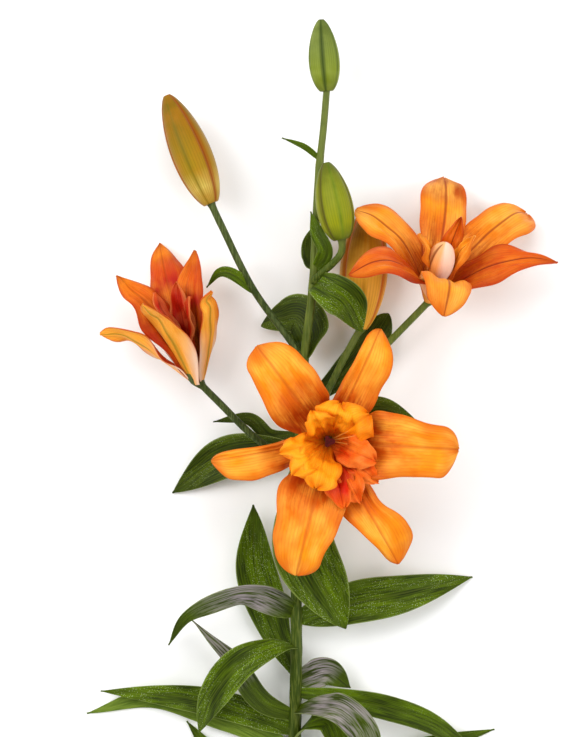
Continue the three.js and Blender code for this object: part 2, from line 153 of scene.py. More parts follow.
# The surround is white to the sides and dimmer overhead, so only the arched leaves shine.
shade = add(
    world.node_tree, "ShaderNodeValToRGB", {0: spread.outputs["Z"]}, [(0.25, 1.0), (0.75, 0.45), (1.0, 0.3)],
)
world.node_tree.links.new(shade.outputs["Color"], surround.inputs["Color"])
surround.inputs["Strength"].default_value = 1.05
scene.world = world

# ---- Main stem ----
# One round, slightly ribbed green stem, thicker at the cut end. It grew in one piece with the scars of its
# leaf feet, and it was cut straight across below.


def smooth_route(points, count):
    """Evenly spaced places and unit tangents on the smooth curve through the points, and its length.

    At each point the curve runs the way from the point before to the point after."""
    corner = np.asarray(points, float)
    corner = np.vstack([2 * corner[0] - corner[1], corner, 2 * corner[-1] - corner[-2]])
    dense = []
    t = np.linspace(0, 1, 60, endpoint=False)[:, None]
    for before, start, end, after in zip(corner, corner[1:], corner[2:], corner[3:]):
        leave = (end - before) / 2
        arrive = (after - start) / 2
        spot = (2 * t**3 - 3 * t**2 + 1) * start + (t**3 - 2 * t**2 + t) * leave
        dense.append(spot + (3 * t**2 - 2 * t**3) * end + (t**3 - t**2) * arrive)
    dense = np.vstack([*dense, corner[-2:-1]])
    along = np.concatenate([[0], np.cumsum(np.linalg.norm(np.diff(dense, axis=0), axis=1))])
    even = np.linspace(0, along[-1], count)
    centre = np.stack([np.interp(even, along, dense[:, k]) for k in range(3)], axis=1)
    tangent = np.gradient(centre, axis=0)
    return centre, tangent / np.linalg.norm(tangent, axis=1)[:, None], along[-1]


def closed_piece(name, rings, attributes, material):
    """A smooth closed mesh through rings of points in plant millimetres, shape (rows, around, 3).

    attributes maps a name to a value for each point, shape (rows, around, 3)."""
    rows, around = rings.shape[:2]
    row, column = np.meshgrid(np.arange(rows - 1), np.arange(around), indexing="ij")
    after = (column + 1) % around
    sides = [
        row * around + column, row * around + after, (row + 1) * around + after, (row + 1) * around + column,
    ]
    faces = np.stack([part.ravel() for part in sides], axis=1).tolist()
    for start in (0, (rows - 1) * around):
        for j in range(around // 2 - 1):
            faces.append([start + j, start + j + 1, start + around - 2 - j, start + around - 1 - j])
    mesh = bpy.data.meshes.new(name)
    mesh.from_pydata(metres(rings.reshape(-1, 3)).tolist(), [], faces)
    for label, values in attributes.items():
        layer = mesh.attributes.new(label, "FLOAT_VECTOR", "POINT")
        layer.data.foreach_set("vector", np.ascontiguousarray(values, dtype=np.float32).ravel())
    work = bmesh.new()
    work.from_mesh(mesh)
    bmesh.ops.recalc_face_normals(work, faces=work.faces)
    work.to_mesh(mesh)
    work.free()
    mesh.polygons.foreach_set("use_smooth", [True] * len(mesh.polygons))
    mesh.materials.append(material)
    piece = bpy.data.objects.new(name, mesh)
    scene.collection.objects.link(piece)
    return piece


def carry(piece, node=None):
    """Rides the piece on the plant, and hides the CAD node that it stands for."""
    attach(piece, "root")
    if node:
        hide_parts(node)


# A round stalk along a path of points, each with a swell. Its inputs are the end radii, the swell and the
# ribs.
stalk_rule = bpy.data.node_groups.new("round stalk along a path", "GeometryNodeTree")
stalk_inputs = {}
for label, kind, value in (
    ("Path", "NodeSocketGeometry", None), ("Start radius", "NodeSocketFloat", 0.004),
    ("End radius", "NodeSocketFloat", 0.002), ("Swell", "NodeSocketFloat", 0.0003),
    ("Ribs", "NodeSocketFloat", 7.0), ("Rib depth", "NodeSocketFloat", 0.035),
    ("Sides", "NodeSocketInt", 28), ("Skin", "NodeSocketMaterial", None),
):
    socket = stalk_rule.interface.new_socket(label, in_out="INPUT", socket_type=kind)
    stalk_inputs[label] = socket.identifier
    if value is not None:
        socket.default_value = value
stalk_rule.interface.new_socket("Stalk", in_out="OUTPUT", socket_type="NodeSocketGeometry")
given = stalk_rule.nodes.new("NodeGroupInput").outputs
path = add(stalk_rule, "GeometryNodeMeshToCurve", {0: given["Path"]})
share = add(stalk_rule, "GeometryNodeSplineParameter")
taper = add(
    stalk_rule, "ShaderNodeMapRange",
    {0: share.outputs["Factor"], 3: given["Start radius"], 4: given["End radius"]},
)
joint = add(stalk_rule, "GeometryNodeInputNamedAttribute", {0: "swell"})
radius = add(
    stalk_rule, "ShaderNodeMath", {0: joint.outputs[0], 1: given["Swell"], 2: taper.outputs[0]},
    operation="MULTIPLY_ADD",
)
length = add(stalk_rule, "ShaderNodeMath", {0: share.outputs["Length"], 1: 1000.0}, operation="MULTIPLY")
position = add(stalk_rule, "ShaderNodeCombineXYZ", {1: share.outputs["Factor"], 2: length.outputs[0]})
marked = add(
    stalk_rule, "GeometryNodeStoreNamedAttribute", {0: path.outputs[0], 2: "place", 3: position.outputs[0]},
    data_type="FLOAT_VECTOR",
)
# The ring that is swept along the path: a circle of radius 1, pushed in and out by the ribs.
circle = add(stalk_rule, "GeometryNodeCurvePrimitiveCircle", {0: given["Sides"], 4: 1.0})
turn = add(stalk_rule, "ShaderNodeMath", {0: share.outputs["Factor"], 1: 2 * math.pi}, operation="MULTIPLY")
turns = add(stalk_rule, "ShaderNodeMath", {0: turn.outputs[0], 1: given["Ribs"]}, operation="MULTIPLY")
wave = add(stalk_rule, "ShaderNodeMath", {0: turns.outputs[0]}, operation="COSINE")
depth = add(stalk_rule, "ShaderNodeMath", {0: wave.outputs[0], 1: given["Rib depth"]}, operation="MULTIPLY")
spot = add(stalk_rule, "GeometryNodeInputPosition")
push = add(
    stalk_rule, "ShaderNodeVectorMath", {0: spot.outputs[0], "Scale": depth.outputs[0]}, operation="SCALE",
)
ribbed_ring = add(stalk_rule, "GeometryNodeSetPosition", {0: circle.outputs[0], 3: push.outputs[0]})
# The last input closes both ends.
tube = add(
    stalk_rule, "GeometryNodeCurveToMesh",
    {0: marked.outputs[0], 1: ribbed_ring.outputs[0], 2: radius.outputs[0], 3: True},
)
smooth = add(stalk_rule, "GeometryNodeSetShadeSmooth", {0: tube.outputs[0]})
whole = add(stalk_rule, "GeometryNodeRealizeInstances", {0: smooth.outputs[0]})
skinned = add(stalk_rule, "GeometryNodeSetMaterial", {0: whole.outputs[0], 2: given["Skin"]})
add(stalk_rule, "NodeGroupOutput", {0: skinned.outputs[0]})


def grown_stalk(name, points, swell_at, rows, material, **values):
    """A plain closed mesh of a stalk.

    swell_at gives the swell at each share, and values are the rule's named inputs."""
    centre = smooth_route(points, rows)[0]
    route = bpy.data.meshes.new(name + "_path")
    route.from_pydata(metres(centre).tolist(), [(i, i + 1) for i in range(rows - 1)], [])
    swell = route.attributes.new("swell", "FLOAT", "POINT")
    swell.data.foreach_set("value", [float(swell_at(s)) for s in np.linspace(0, 1, rows)])
    piece = bpy.data.objects.new(name, route)
    scene.collection.objects.link(piece)
    rule = piece.modifiers.new("stalk", "NODES")
    rule.node_group = stalk_rule
    rule[stalk_inputs["Skin"]] = material
    for label, value in values.items():
        rule[stalk_inputs[label.replace("_", " ")]] = value
    evaluated = piece.evaluated_get(bpy.context.evaluated_depsgraph_get())
    mesh = bpy.data.meshes.new_from_object(evaluated)
    piece.modifiers.clear()
    piece.data = mesh
    mesh.name = name
    work = bmesh.new()
    work.from_mesh(mesh)
    bmesh.ops.recalc_face_normals(work, faces=work.faces)
    work.to_mesh(mesh)
    work.free()
    return piece


MIX_A, MIX_B, MIX_RESULT = 6, 7, 2  # the colour sockets of a Mix node


def green_stalk_skin(name, lengthwise, fibre_colour, fleck_colour):
    """Fresh lily stem: a waxy green skin with a soft shine, long pale fibres and small darker flecks."""
    material, tree, shader = new_material(name)
    where = add(tree, "ShaderNodeTexCoord")
    place = add(tree, "ShaderNodeAttribute", attribute_name="place")
    spread = add(tree, "ShaderNodeSeparateXYZ", {0: place.outputs["Vector"]})
    # A fibre is about 1 mm wide and 17 mm long. The darker flecks lie in patches about 20 mm across.
    long_grain = add(tree, "ShaderNodeMapping", {0: where.outputs["Object"], "Scale": (900, 60, 900)})
    fibre = add(tree, "ShaderNodeTexNoise", {"Vector": long_grain.outputs[0], "Scale": 1.0, "Detail": 4.0})
    cloud = add(tree, "ShaderNodeTexNoise", {"Vector": where.outputs["Object"], "Scale": 45.0, "Detail": 3.0})
    colour = add(tree, "ShaderNodeValToRGB", {"Fac": spread.outputs["Y"]}, lengthwise).outputs[0]
    fibres = add(
        tree, "ShaderNodeMapRange", {"Value": fibre.outputs["Fac"], "From Min": 0.45, "From Max": 0.75},
    )
    flecks = add(
        tree, "ShaderNodeMapRange",
        {"Value": cloud.outputs["Fac"], "From Min": 0.52, "From Max": 0.72, "To Max": 0.7},
    )
    for cover, coat in ((fibres, fibre_colour), (flecks, fleck_colour)):
        mixed = add(
            tree, "ShaderNodeMix", {0: cover.outputs[0], MIX_A: colour, MIX_B: hex_colour(coat)},
            data_type="RGBA",
        )
        colour = mixed.outputs[MIX_RESULT]
    relief = add(
        tree, "ShaderNodeBump", {"Height": fibre.outputs["Fac"], "Strength": 0.35, "Distance": 0.0004},
    )
    tree.links.new(colour, shader.inputs["Base Color"])
    tree.links.new(relief.outputs["Normal"], shader.inputs["Normal"])
    shader.inputs["Roughness"].default_value = 0.42
    shader.inputs["Specular IOR Level"].default_value = 0.12
    return material


stem_skin = green_stalk_skin(
    "waxy green stem", [(0.0, "#2c3a06"), (0.3, "#384a08"), (0.62, "#4c5a18"), (1.0, "#626c30")], "#6c7630",
    "#2e400c"
)
dark_stem_skin = green_stalk_skin(
    "waxy green stem, dark", [(0.0, "#323e16"), (0.5, "#2c3810"), (1.0, "#424c20")], "#5c6838", "#20280e"
)

STEM_POINTS = [
    (-1, 0, 4.6), (1, 70, 9), (2, 125, 15), (2, 180, 21), (4, 248, 26), (7, 305, 29),
    (12, 346, 30), (14, 384, 30), (16, 420, 29), (19, 449, 28), (21, 473, 28),
]
STEM_RADIUS_CUT = 4.1
STEM_RADIUS_TOP = 2.1
STEM_LENGTH = 478
# Heights at which a leaf or stalk leaves the stem, where it thickens a little into a joint.
JOINTS = [18, 22, 58, 68, 80, 95, 106, 124, 143, 228, 246, 262, 302, 352, 429]
JOINT_REACH = 5
MOST_SWELL = 1.4  # where two joints are close


def joint_swell(share):
    """How much of a joint's swell the stem has at a share of its length."""
    return min(sum(math.exp(-(((share * STEM_LENGTH - j) / JOINT_REACH) ** 2)) for j in JOINTS), MOST_SWELL)


stem = grown_stalk(
    "lily_stem", STEM_POINTS, joint_swell, 320, stem_skin,
    Start_radius=STEM_RADIUS_CUT / 1000, End_radius=STEM_RADIUS_TOP / 1000, Swell=0.0003, Sides=32,
)
carry(stem, "main_stem")

# ---- Stalks ----
# Each flower and bud hangs on its own green stalk. A flower's stalk swells into the receptacle that carries
# the tepals. They are the same tissue as the stem, only thinner and smoother.

STALK_RADIUS = 2.2
RECEPTACLE_RADIUS = 5.2
RECEPTACLE_HEIGHT = 9.0
INTO_BUD = 2.5  # how far a bud's stalk runs into its foot
STEM_FLARE, STEM_FLARE_REACH = 0.3, 5  # where a stalk leaves the stem
BUD_FLARE, BUD_FLARE_REACH = 0.35, 3
# A receptacle starts to widen this many of its heights below the top, is full soon after, and has a domed
# top.
WIDENS_FROM, WIDENS_BY = 1.6, 1.35
DOME_FROM, DOME_DROP = 0.8, 0.75
# Where each flower's receptacle starts, and the way that the flower faces.
FLOWERS = {
    "front": {"foot": (22, 254, 44), "axis": (0, 0, 1)},
    "right": {"foot": (86, 342, 28), "axis": (0.22, 0.68, 0.7)},
    "left": {"foot": (-59.5, 291, 28), "axis": (-0.3, 0.86, 0.42)},
}
for flower in FLOWERS.values():
    flower["foot"] = np.array(flower["foot"], float)
    flower["axis"] = np.array(flower["axis"]) / np.linalg.norm(flower["axis"])
    flower["top"] = flower["foot"] + flower["axis"] * RECEPTACLE_HEIGHT

stem_centre = smooth_route(STEM_POINTS, 500)[0]


def on_route(centre, height):
    """The place on a rising route at a height along the plant."""
    return np.array([np.interp(height, centre[:, 1], centre[:, k]) for k in range(3)])


def stalk(name, node, from_height, via, end, swells, material=stem_skin):
    """A stalk from the stem, through the given places, to a bud or to the top of a flower's receptacle."""
    points = [on_route(stem_centre, from_height), *via, end]
    if not swells:  # a bud's stalk runs a little way into the bud's foot
        last = np.subtract(end, via[-1])
        points[-1] = np.array(end) + INTO_BUD * last / np.linalg.norm(last)
    length = smooth_route(points, 50)[2]

    def swell_at(share):
        """A flare at the stem, and a bud's small flare or a flower's domed receptacle at the other end."""
        rise = 1 - (1 - share) * length / (RECEPTACLE_HEIGHT * WIDENS_FROM)
        if not swells or rise < 0:
            flare = STEM_FLARE * math.exp(-((share * length / STEM_FLARE_REACH) ** 2))
            if swells:
                return flare
            return flare + BUD_FLARE * math.exp(-(((1 - share) * length / BUD_FLARE_REACH) ** 2))
        dome = math.sqrt(1 - (max(0, rise - DOME_FROM) / (1 - DOME_FROM)) ** 2 * DOME_DROP)
        widened = math.sin(min(1, rise * WIDENS_BY) * math.pi / 2)
        swollen = STALK_RADIUS + (RECEPTACLE_RADIUS - STALK_RADIUS) * widened
        return (swollen * dome - STALK_RADIUS) / (RECEPTACLE_RADIUS - STALK_RADIUS)

    piece = grown_stalk(
        name, points, swell_at, int(length / 1.5) + 20, material, Start_radius=STALK_RADIUS / 1000,
        End_radius=STALK_RADIUS / 1000, Swell=(RECEPTACLE_RADIUS - STALK_RADIUS) / 1000,
    )
    carry(piece, node)
    return smooth_route(points, 300)[0]


front, right, left = FLOWERS["front"], FLOWERS["right"], FLOWERS["left"]

# Each stalk: the height where it leaves the stem, the places that it runs through, its end, and its swell.
stalk("front_flower_stalk", "stalk_front_flower", 226, [(12, 244, 33), front["foot"]], front["top"], True)
stalk(
    "right_flower_stalk", "stalk_right_flower", 246,
    [(22, 272, 27), (42, 296, 26), (61, 316, 25), right["foot"]], right["top"], True,
)
stalk(
    "left_flower_stalk", "stalk_left_flower", 236,
    [(-15.5, 249, 27), (-29, 260, 28), (-45, 276, 27), left["foot"]], left["top"], True,
    dark_stem_skin,
)
stalk(
    "orange_bud_stalk", "stalk_orange_bud", 262, [(17, 275, 23), (23, 287, 20), (33, 307, 18)],
    (41.5, 322, 18), False,
)
upper_left_stalk = stalk(
    "upper_left_bud_stalk", "stalk_upper_left_bud", 302,
    [(-2, 316, 29), (-25, 348, 28), (-44, 386, 27)], (-51, 401, 26), False, dark_stem_skin,
)
stalk(
    "second_bud_stalk", "stalk_second_bud", 352, [(17, 357, 35), (25, 364, 40), (30, 371, 43)], (30, 378, 44),
    False,
)

# ---- Buds ----
# A closed bud is three broad outer tepals that meet edge to edge, each with a double ridge down its middle.
# The young ones are green, and the ripe ones turn olive, yellow and orange from the seams inwards.


def bud_skin(name, lengthwise, ridge, seam, blush, blush_amount, one_side=None):
    """Bud skin: a thin waxy coat over fleshy tepals, so it shines dully and the light sinks in a little.

    It takes colours along the bud, for the ridge, the seam and the blush between them, and for one side."""
    material, tree, shader = new_material(name)
    place = add(tree, "ShaderNodeAttribute", attribute_name="place")
    spread = add(tree, "ShaderNodeSeparateXYZ", {0: place.outputs["Vector"]})
    where = add(tree, "ShaderNodeTexCoord")
    # The blush lies in patches about 14 mm across.
    cloud = add(tree, "ShaderNodeTexNoise", {"Vector": where.outputs["Object"], "Scale": 70.0, "Detail": 4.0})
    colour = add(tree, "ShaderNodeValToRGB", {"Fac": spread.outputs["Y"]}, lengthwise).outputs[0]
    # Seven veins on each half of a tepal.
    lines = add(tree, "ShaderNodeMath", {0: spread.outputs["X"], 1: 7.0}, operation="MULTIPLY")
    folded = add(tree, "ShaderNodeMath", {0: lines.outputs[0], 1: 0.5}, operation="PINGPONG")
    vein = add(
        tree, "ShaderNodeMapRange",
        {"Value": folded.outputs[0], "From Max": 0.28, "To Min": 0.45, "To Max": 0.0},
    )
    ridge_mask = add(
        tree, "ShaderNodeMapRange",
        {"Value": spread.outputs["X"], "From Min": 0.02, "From Max": 0.14, "To Min": 0.75, "To Max": 0.0},
    )
    patch = add(
        tree, "ShaderNodeMapRange",
        {"Value": cloud.outputs["Fac"], "From Min": 0.42, "From Max": 0.68, "To Max": blush_amount},
    )
    seam_mask = add(
        tree, "ShaderNodeMapRange",
        {"Value": spread.outputs["X"], "From Min": 0.74, "From Max": 0.97, "To Max": 0.9},
    )
    coats = [(vein, ridge), (ridge_mask, ridge), (patch, blush), (seam_mask, seam)]
    if one_side:
        side = add(
            tree, "ShaderNodeMapRange", {"Value": spread.outputs["Z"], "From Min": 0.4, "From Max": 0.62},
        )
        above_foot = add(
            tree, "ShaderNodeMapRange", {"Value": spread.outputs["Y"], "From Min": 0.22, "From Max": 0.45},
        )
        side_part = add(
            tree, "ShaderNodeMath", {0: side.outputs[0], 1: above_foot.outputs[0]}, operation="MULTIPLY",
        )
        coats.append((side_part, one_side))
    for cover, coat in coats:
        mixed = add(
            tree, "ShaderNodeMix", {0: cover.outputs[0], MIX_A: colour, MIX_B: hex_colour(coat)},
            data_type="RGBA",
        )
        colour = mixed.outputs[MIX_RESULT]
    relief = add(tree, "ShaderNodeBump", {"Height": vein.outputs[0], "Strength": 0.25, "Distance": 0.0004})
    tree.links.new(colour, shader.inputs["Base Color"])
    tree.links.new(relief.outputs["Normal"], shader.inputs["Normal"])
    shader.inputs["Roughness"].default_value = 0.45
    shader.inputs["Specular IOR Level"].default_value = 0.12
    shader.inputs["Subsurface Weight"].default_value = 0.08
    shader.inputs["Subsurface Radius"].default_value = (0.004, 0.003, 0.001)
    return material


# Shares of the bud's radius: the grooves at the seams, and each tepal's double ridge with a furrow between.
SEAM_DEPTH, SEAM_WIDTH = 0.085, 0.1
RIDGE_HEIGHT, RIDGE_FROM_MIDDLE, RIDGE_WIDTH = 0.04, 0.1, 0.07
FURROW_DEPTH, FURROW_WIDTH = 0.03, 0.05
THREE_SIDED = 0.025
BLUNT_ENDS = 0.55
BUD_BOW = 0.8
SMALLEST_RADIUS = 0.35
BUD_ROWS, BUD_SIDES = 110, 96


def bud(name, node, base, tip, radius, fullest, turn, material):
    """A closed bud: three outer tepals with a double ridge each, meeting in grooves."""
    base = np.array(base, float)
    axis = np.array(tip, float) - base
    length = np.linalg.norm(axis)
    axis /= length
    side = np.cross(axis, (0, 0, 1))
    side /= np.linalg.norm(side)
    up = np.cross(side, axis)
    share = np.linspace(0, 1, BUD_ROWS)[:, None]
    angle = (np.arange(BUD_SIDES) / BUD_SIDES * 2 * math.pi)[None, :]
    power = math.log(0.5) / math.log(fullest)
    outline = np.sin(math.pi * (0.035 + 0.95 * share) ** power) ** BLUNT_ENDS
    third = ((angle - turn) / (2 * math.pi / 3)) % 1
    across = np.abs(third * 2 - 1)  # 0 on a tepal's middle line, 1 on a seam
    fades_at_ends = np.sin(math.pi * np.clip(share * 1.02, 0, 1)) ** 0.3
    groove = SEAM_DEPTH * np.exp(-(((1 - across) / SEAM_WIDTH) ** 2)) * fades_at_ends
    ridge = RIDGE_HEIGHT * np.exp(-(((across - RIDGE_FROM_MIDDLE) / RIDGE_WIDTH) ** 2))
    ridge = ridge - FURROW_DEPTH * np.exp(-((across / FURROW_WIDTH) ** 2))
    section = 1 + THREE_SIDED * np.cos(3 * (angle - turn) + math.pi) + ridge - groove
    r = np.maximum(radius * outline * section, SMALLEST_RADIUS)[..., None]
    bow = np.sin(math.pi * share)[..., None] * up * BUD_BOW
    around = np.cos(angle)[..., None] * side + np.sin(angle)[..., None] * up
    rings = base + axis * share[..., None] * length + bow + r * around
    values = np.zeros_like(rings)
    values[..., 0] = across + 0 * share
    values[..., 1] = share + 0 * angle
    values[..., 2] = 0.5 + 0.5 * np.cos(angle - math.pi * 0.02) + 0 * share  # 1 on the right-hand side
    carry(closed_piece(name, rings, {"place": values}, material), node)


young_skin = bud_skin(
    "young lily bud skin", [(0.0, "#5e680a"), (0.25, "#7a8822"), (0.6, "#727f34"), (1.0, "#4c5820")],
    "#50611a", "#33430f", "#8c9848", 0.6,
)
green_skin = bud_skin(
    "green lily bud skin", [(0.0, "#56600a"), (0.2, "#8a8c0a"), (0.6, "#7c8010"), (1.0, "#545a12")],
    "#506a0e", "#4e4a0c", "#8c9420", 0.5,
)
olive_skin = bud_skin(
    "ripening lily bud skin",
    [(0.0, "#a8882c"), (0.14, "#c8ac50"), (0.3, "#9c7c10"), (0.7, "#8a6400"), (1.0, "#785800")],
    "#6e6004", "#8c4004", "#b06c10", 0.5,
)
orange_skin = bud_skin(
    "orange lily bud skin", [(0.0, "#e4ae38"), (0.32, "#e4a234"), (0.6, "#a06808"), (1.0, "#744402")],
    "#ac7414", "#b4520a", "#c48a20", 0.5,
)

# Each bud: its foot, its tip, its radius, the share of its length where it is fullest, and its turn.
bud("top_bud", "bud_top", (21, 471.3, 28), (17.5, 516, 28), 9.6, 0.42, 1.7, young_skin)
bud("second_bud", "bud_second", (30.1, 378.3, 44), (20.5, 426, 44), 11.4, 0.42, 2.45, green_skin)
bud(
    "upper_left_bud", "bud_upper_left", (-51.2, 401.3, 26), (-79, 469, 24), 12.4, 0.45, 0.8, olive_skin,
)
bud("orange_bud", "bud_orange", (41.8, 323, 18), (47, 398, 18), 15, 0.5, 0.5, orange_skin)

# ---- Leaves ----
# A lily leaf is one lance-shaped blade with no stalk of its own. A sunk midrib and parallel veins run from
# foot to tip, the skin is waxy and dark above and paler below, and the margin waves a little.

NARROWEST = 1.0
ROUNDED_FROM = 0.87  # share of the length where a drawn tip starts to round off
UNEVEN_SIDES = 0.035
CHANNEL_WIDTH = 0.09
EDGE_THICKNESS = 0.3  # share of the middle's thickness
EDGE_LOBES = 0.09
FOLD_HEIGHT = 2.2


def blade(name, points, shape, thickness, rows=64, across=25):
    """A thin closed blade along a midrib.

    shape holds width, widest, blunt, foot, cup, side, roll and seed, and the relief of the blade: channel
    (midrib depth), pleat, ripple (waved edge), curl (edge turned down) and crumple.
    Where shape holds an outline, its rows replace the width: share of length, reach to each side."""
    centre, tangent, length = smooth_route(points, rows)
    luck = np.random.default_rng(shape["seed"])
    side = shape["side"] - (tangent @ shape["side"])[:, None] * tangent
    side /= np.linalg.norm(side, axis=1)[:, None]
    normal = np.cross(side, tangent)
    s = np.linspace(0, 1, rows)
    roll = np.radians(shape["roll"][0] + (shape["roll"][1] - shape["roll"][0]) * s)[:, None]
    side, normal = side * np.cos(roll) - normal * np.sin(roll), normal * np.cos(roll) + side * np.sin(roll)
    # The outline from foot to tip, by the rule of the width or as drawn.
    power = math.log(0.5) / math.log(shape["widest"])
    outline = np.sin(math.pi * s**power) ** shape["blunt"]
    half = np.maximum(shape["width"] * outline + shape["foot"] * (1 - s) ** 3, NARROWEST) / 2
    u = np.linspace(-1, 1, across)[None, :]
    if shape["outline"]:
        share, one_side, other_side = np.array(shape["outline"]).T
        reaches = []
        for reach in (one_side, other_side):
            drawn = np.interp(np.linspace(-0.04, 1.04, rows + 8), share, reach)
            reaches.append(np.convolve(drawn, np.full(9, 1 / 9), mode="valid"))
        half = (reaches[0] + reaches[1]) / 2
        rounded = np.sqrt(1 - np.clip((s - ROUNDED_FROM) / (1 - ROUNDED_FROM), 0, 0.985) ** 2)
        wide = np.where(u < 0, reaches[0][:, None], reaches[1][:, None]) * rounded[:, None]
    else:
        wide = half[:, None] * (
            1 + UNEVEN_SIDES * np.sin(2 * math.pi * (1.7 * s[:, None] + luck.random())) * u
        )
    # Low lobes along the edge of a crumpled blade.
    s = s[:, None]
    phase = luck.random(8) * 2 * math.pi
    lobes = np.sin(2 * math.pi * 2.6 * s + phase[4] + 2.4 * u)
    lobes = lobes + 0.6 * np.sin(2 * math.pi * 4.3 * s + phase[5] - u)
    wide = wide * (1 + shape["crumple"] * EDGE_LOBES * lobes * np.clip(s * 2 - 0.5, 0, 1))
    # The height of the blade's skin: cupped, channelled, pleated, waved, turned down at the edge and folded.
    swell = np.sin(math.pi * s) ** 0.7
    lift = shape["cup"] * wide * u**2
    lift = lift - shape["channel"] * np.exp(-((u / CHANNEL_WIDTH) ** 2)) * swell
    lift = lift + shape["pleat"] * np.cos(3 * math.pi * u + 0.6 * np.sin(phase[3])) * swell
    waves = np.where(
        u < 0, np.sin(2 * math.pi * 2.3 * s + phase[0]), np.sin(2 * math.pi * 1.9 * s + phase[1]),
    )
    lift = lift + shape["ripple"] * np.abs(u) ** 2.5 * waves * swell
    lift = lift + 0.5 * shape["ripple"] * u * np.sin(2 * math.pi * 0.8 * s + phase[2]) * swell
    lift = lift - shape["curl"] * wide * np.abs(u) ** 4 * np.clip(s * 1.6 - 0.4, 0, 1)
    folds = np.sin(5.2 * u + 7 * s + phase[6]) * np.sin(2 * math.pi * 2.1 * s - 2.6 * u + phase[7])
    lift = lift + shape["crumple"] * FOLD_HEIGHT * folds * np.clip(s * 2.2 - 0.5, 0, 1)
    skin = thickness / 2 * (EDGE_THICKNESS + (1 - EDGE_THICKNESS) * (1 - u**4))
    flat = centre[:, None] + side[:, None] * (wide * u)[..., None]
    upper = flat + normal[:, None] * (lift + skin)[..., None]
    lower = flat + normal[:, None] * (lift - skin)[..., None]
    rings = np.concatenate([upper, lower[:, ::-1]], axis=1)
    # place holds shares of the width and length and the face, for veins. size holds millimetres, for specks.
    both = np.concatenate([u + 0 * s, (u + 0 * s)[:, ::-1]], axis=1)
    place = np.zeros_like(rings)
    place[..., 0] = both
    place[..., 1] = s
    place[:, across:, 2] = 1.0
    size = np.zeros_like(rings)
    size[..., 0] = both * half[:, None]
    size[..., 1] = s * length
    size[..., 2] = shape["seed"] * 37.0
    return rings, {"place": place, "size": size}


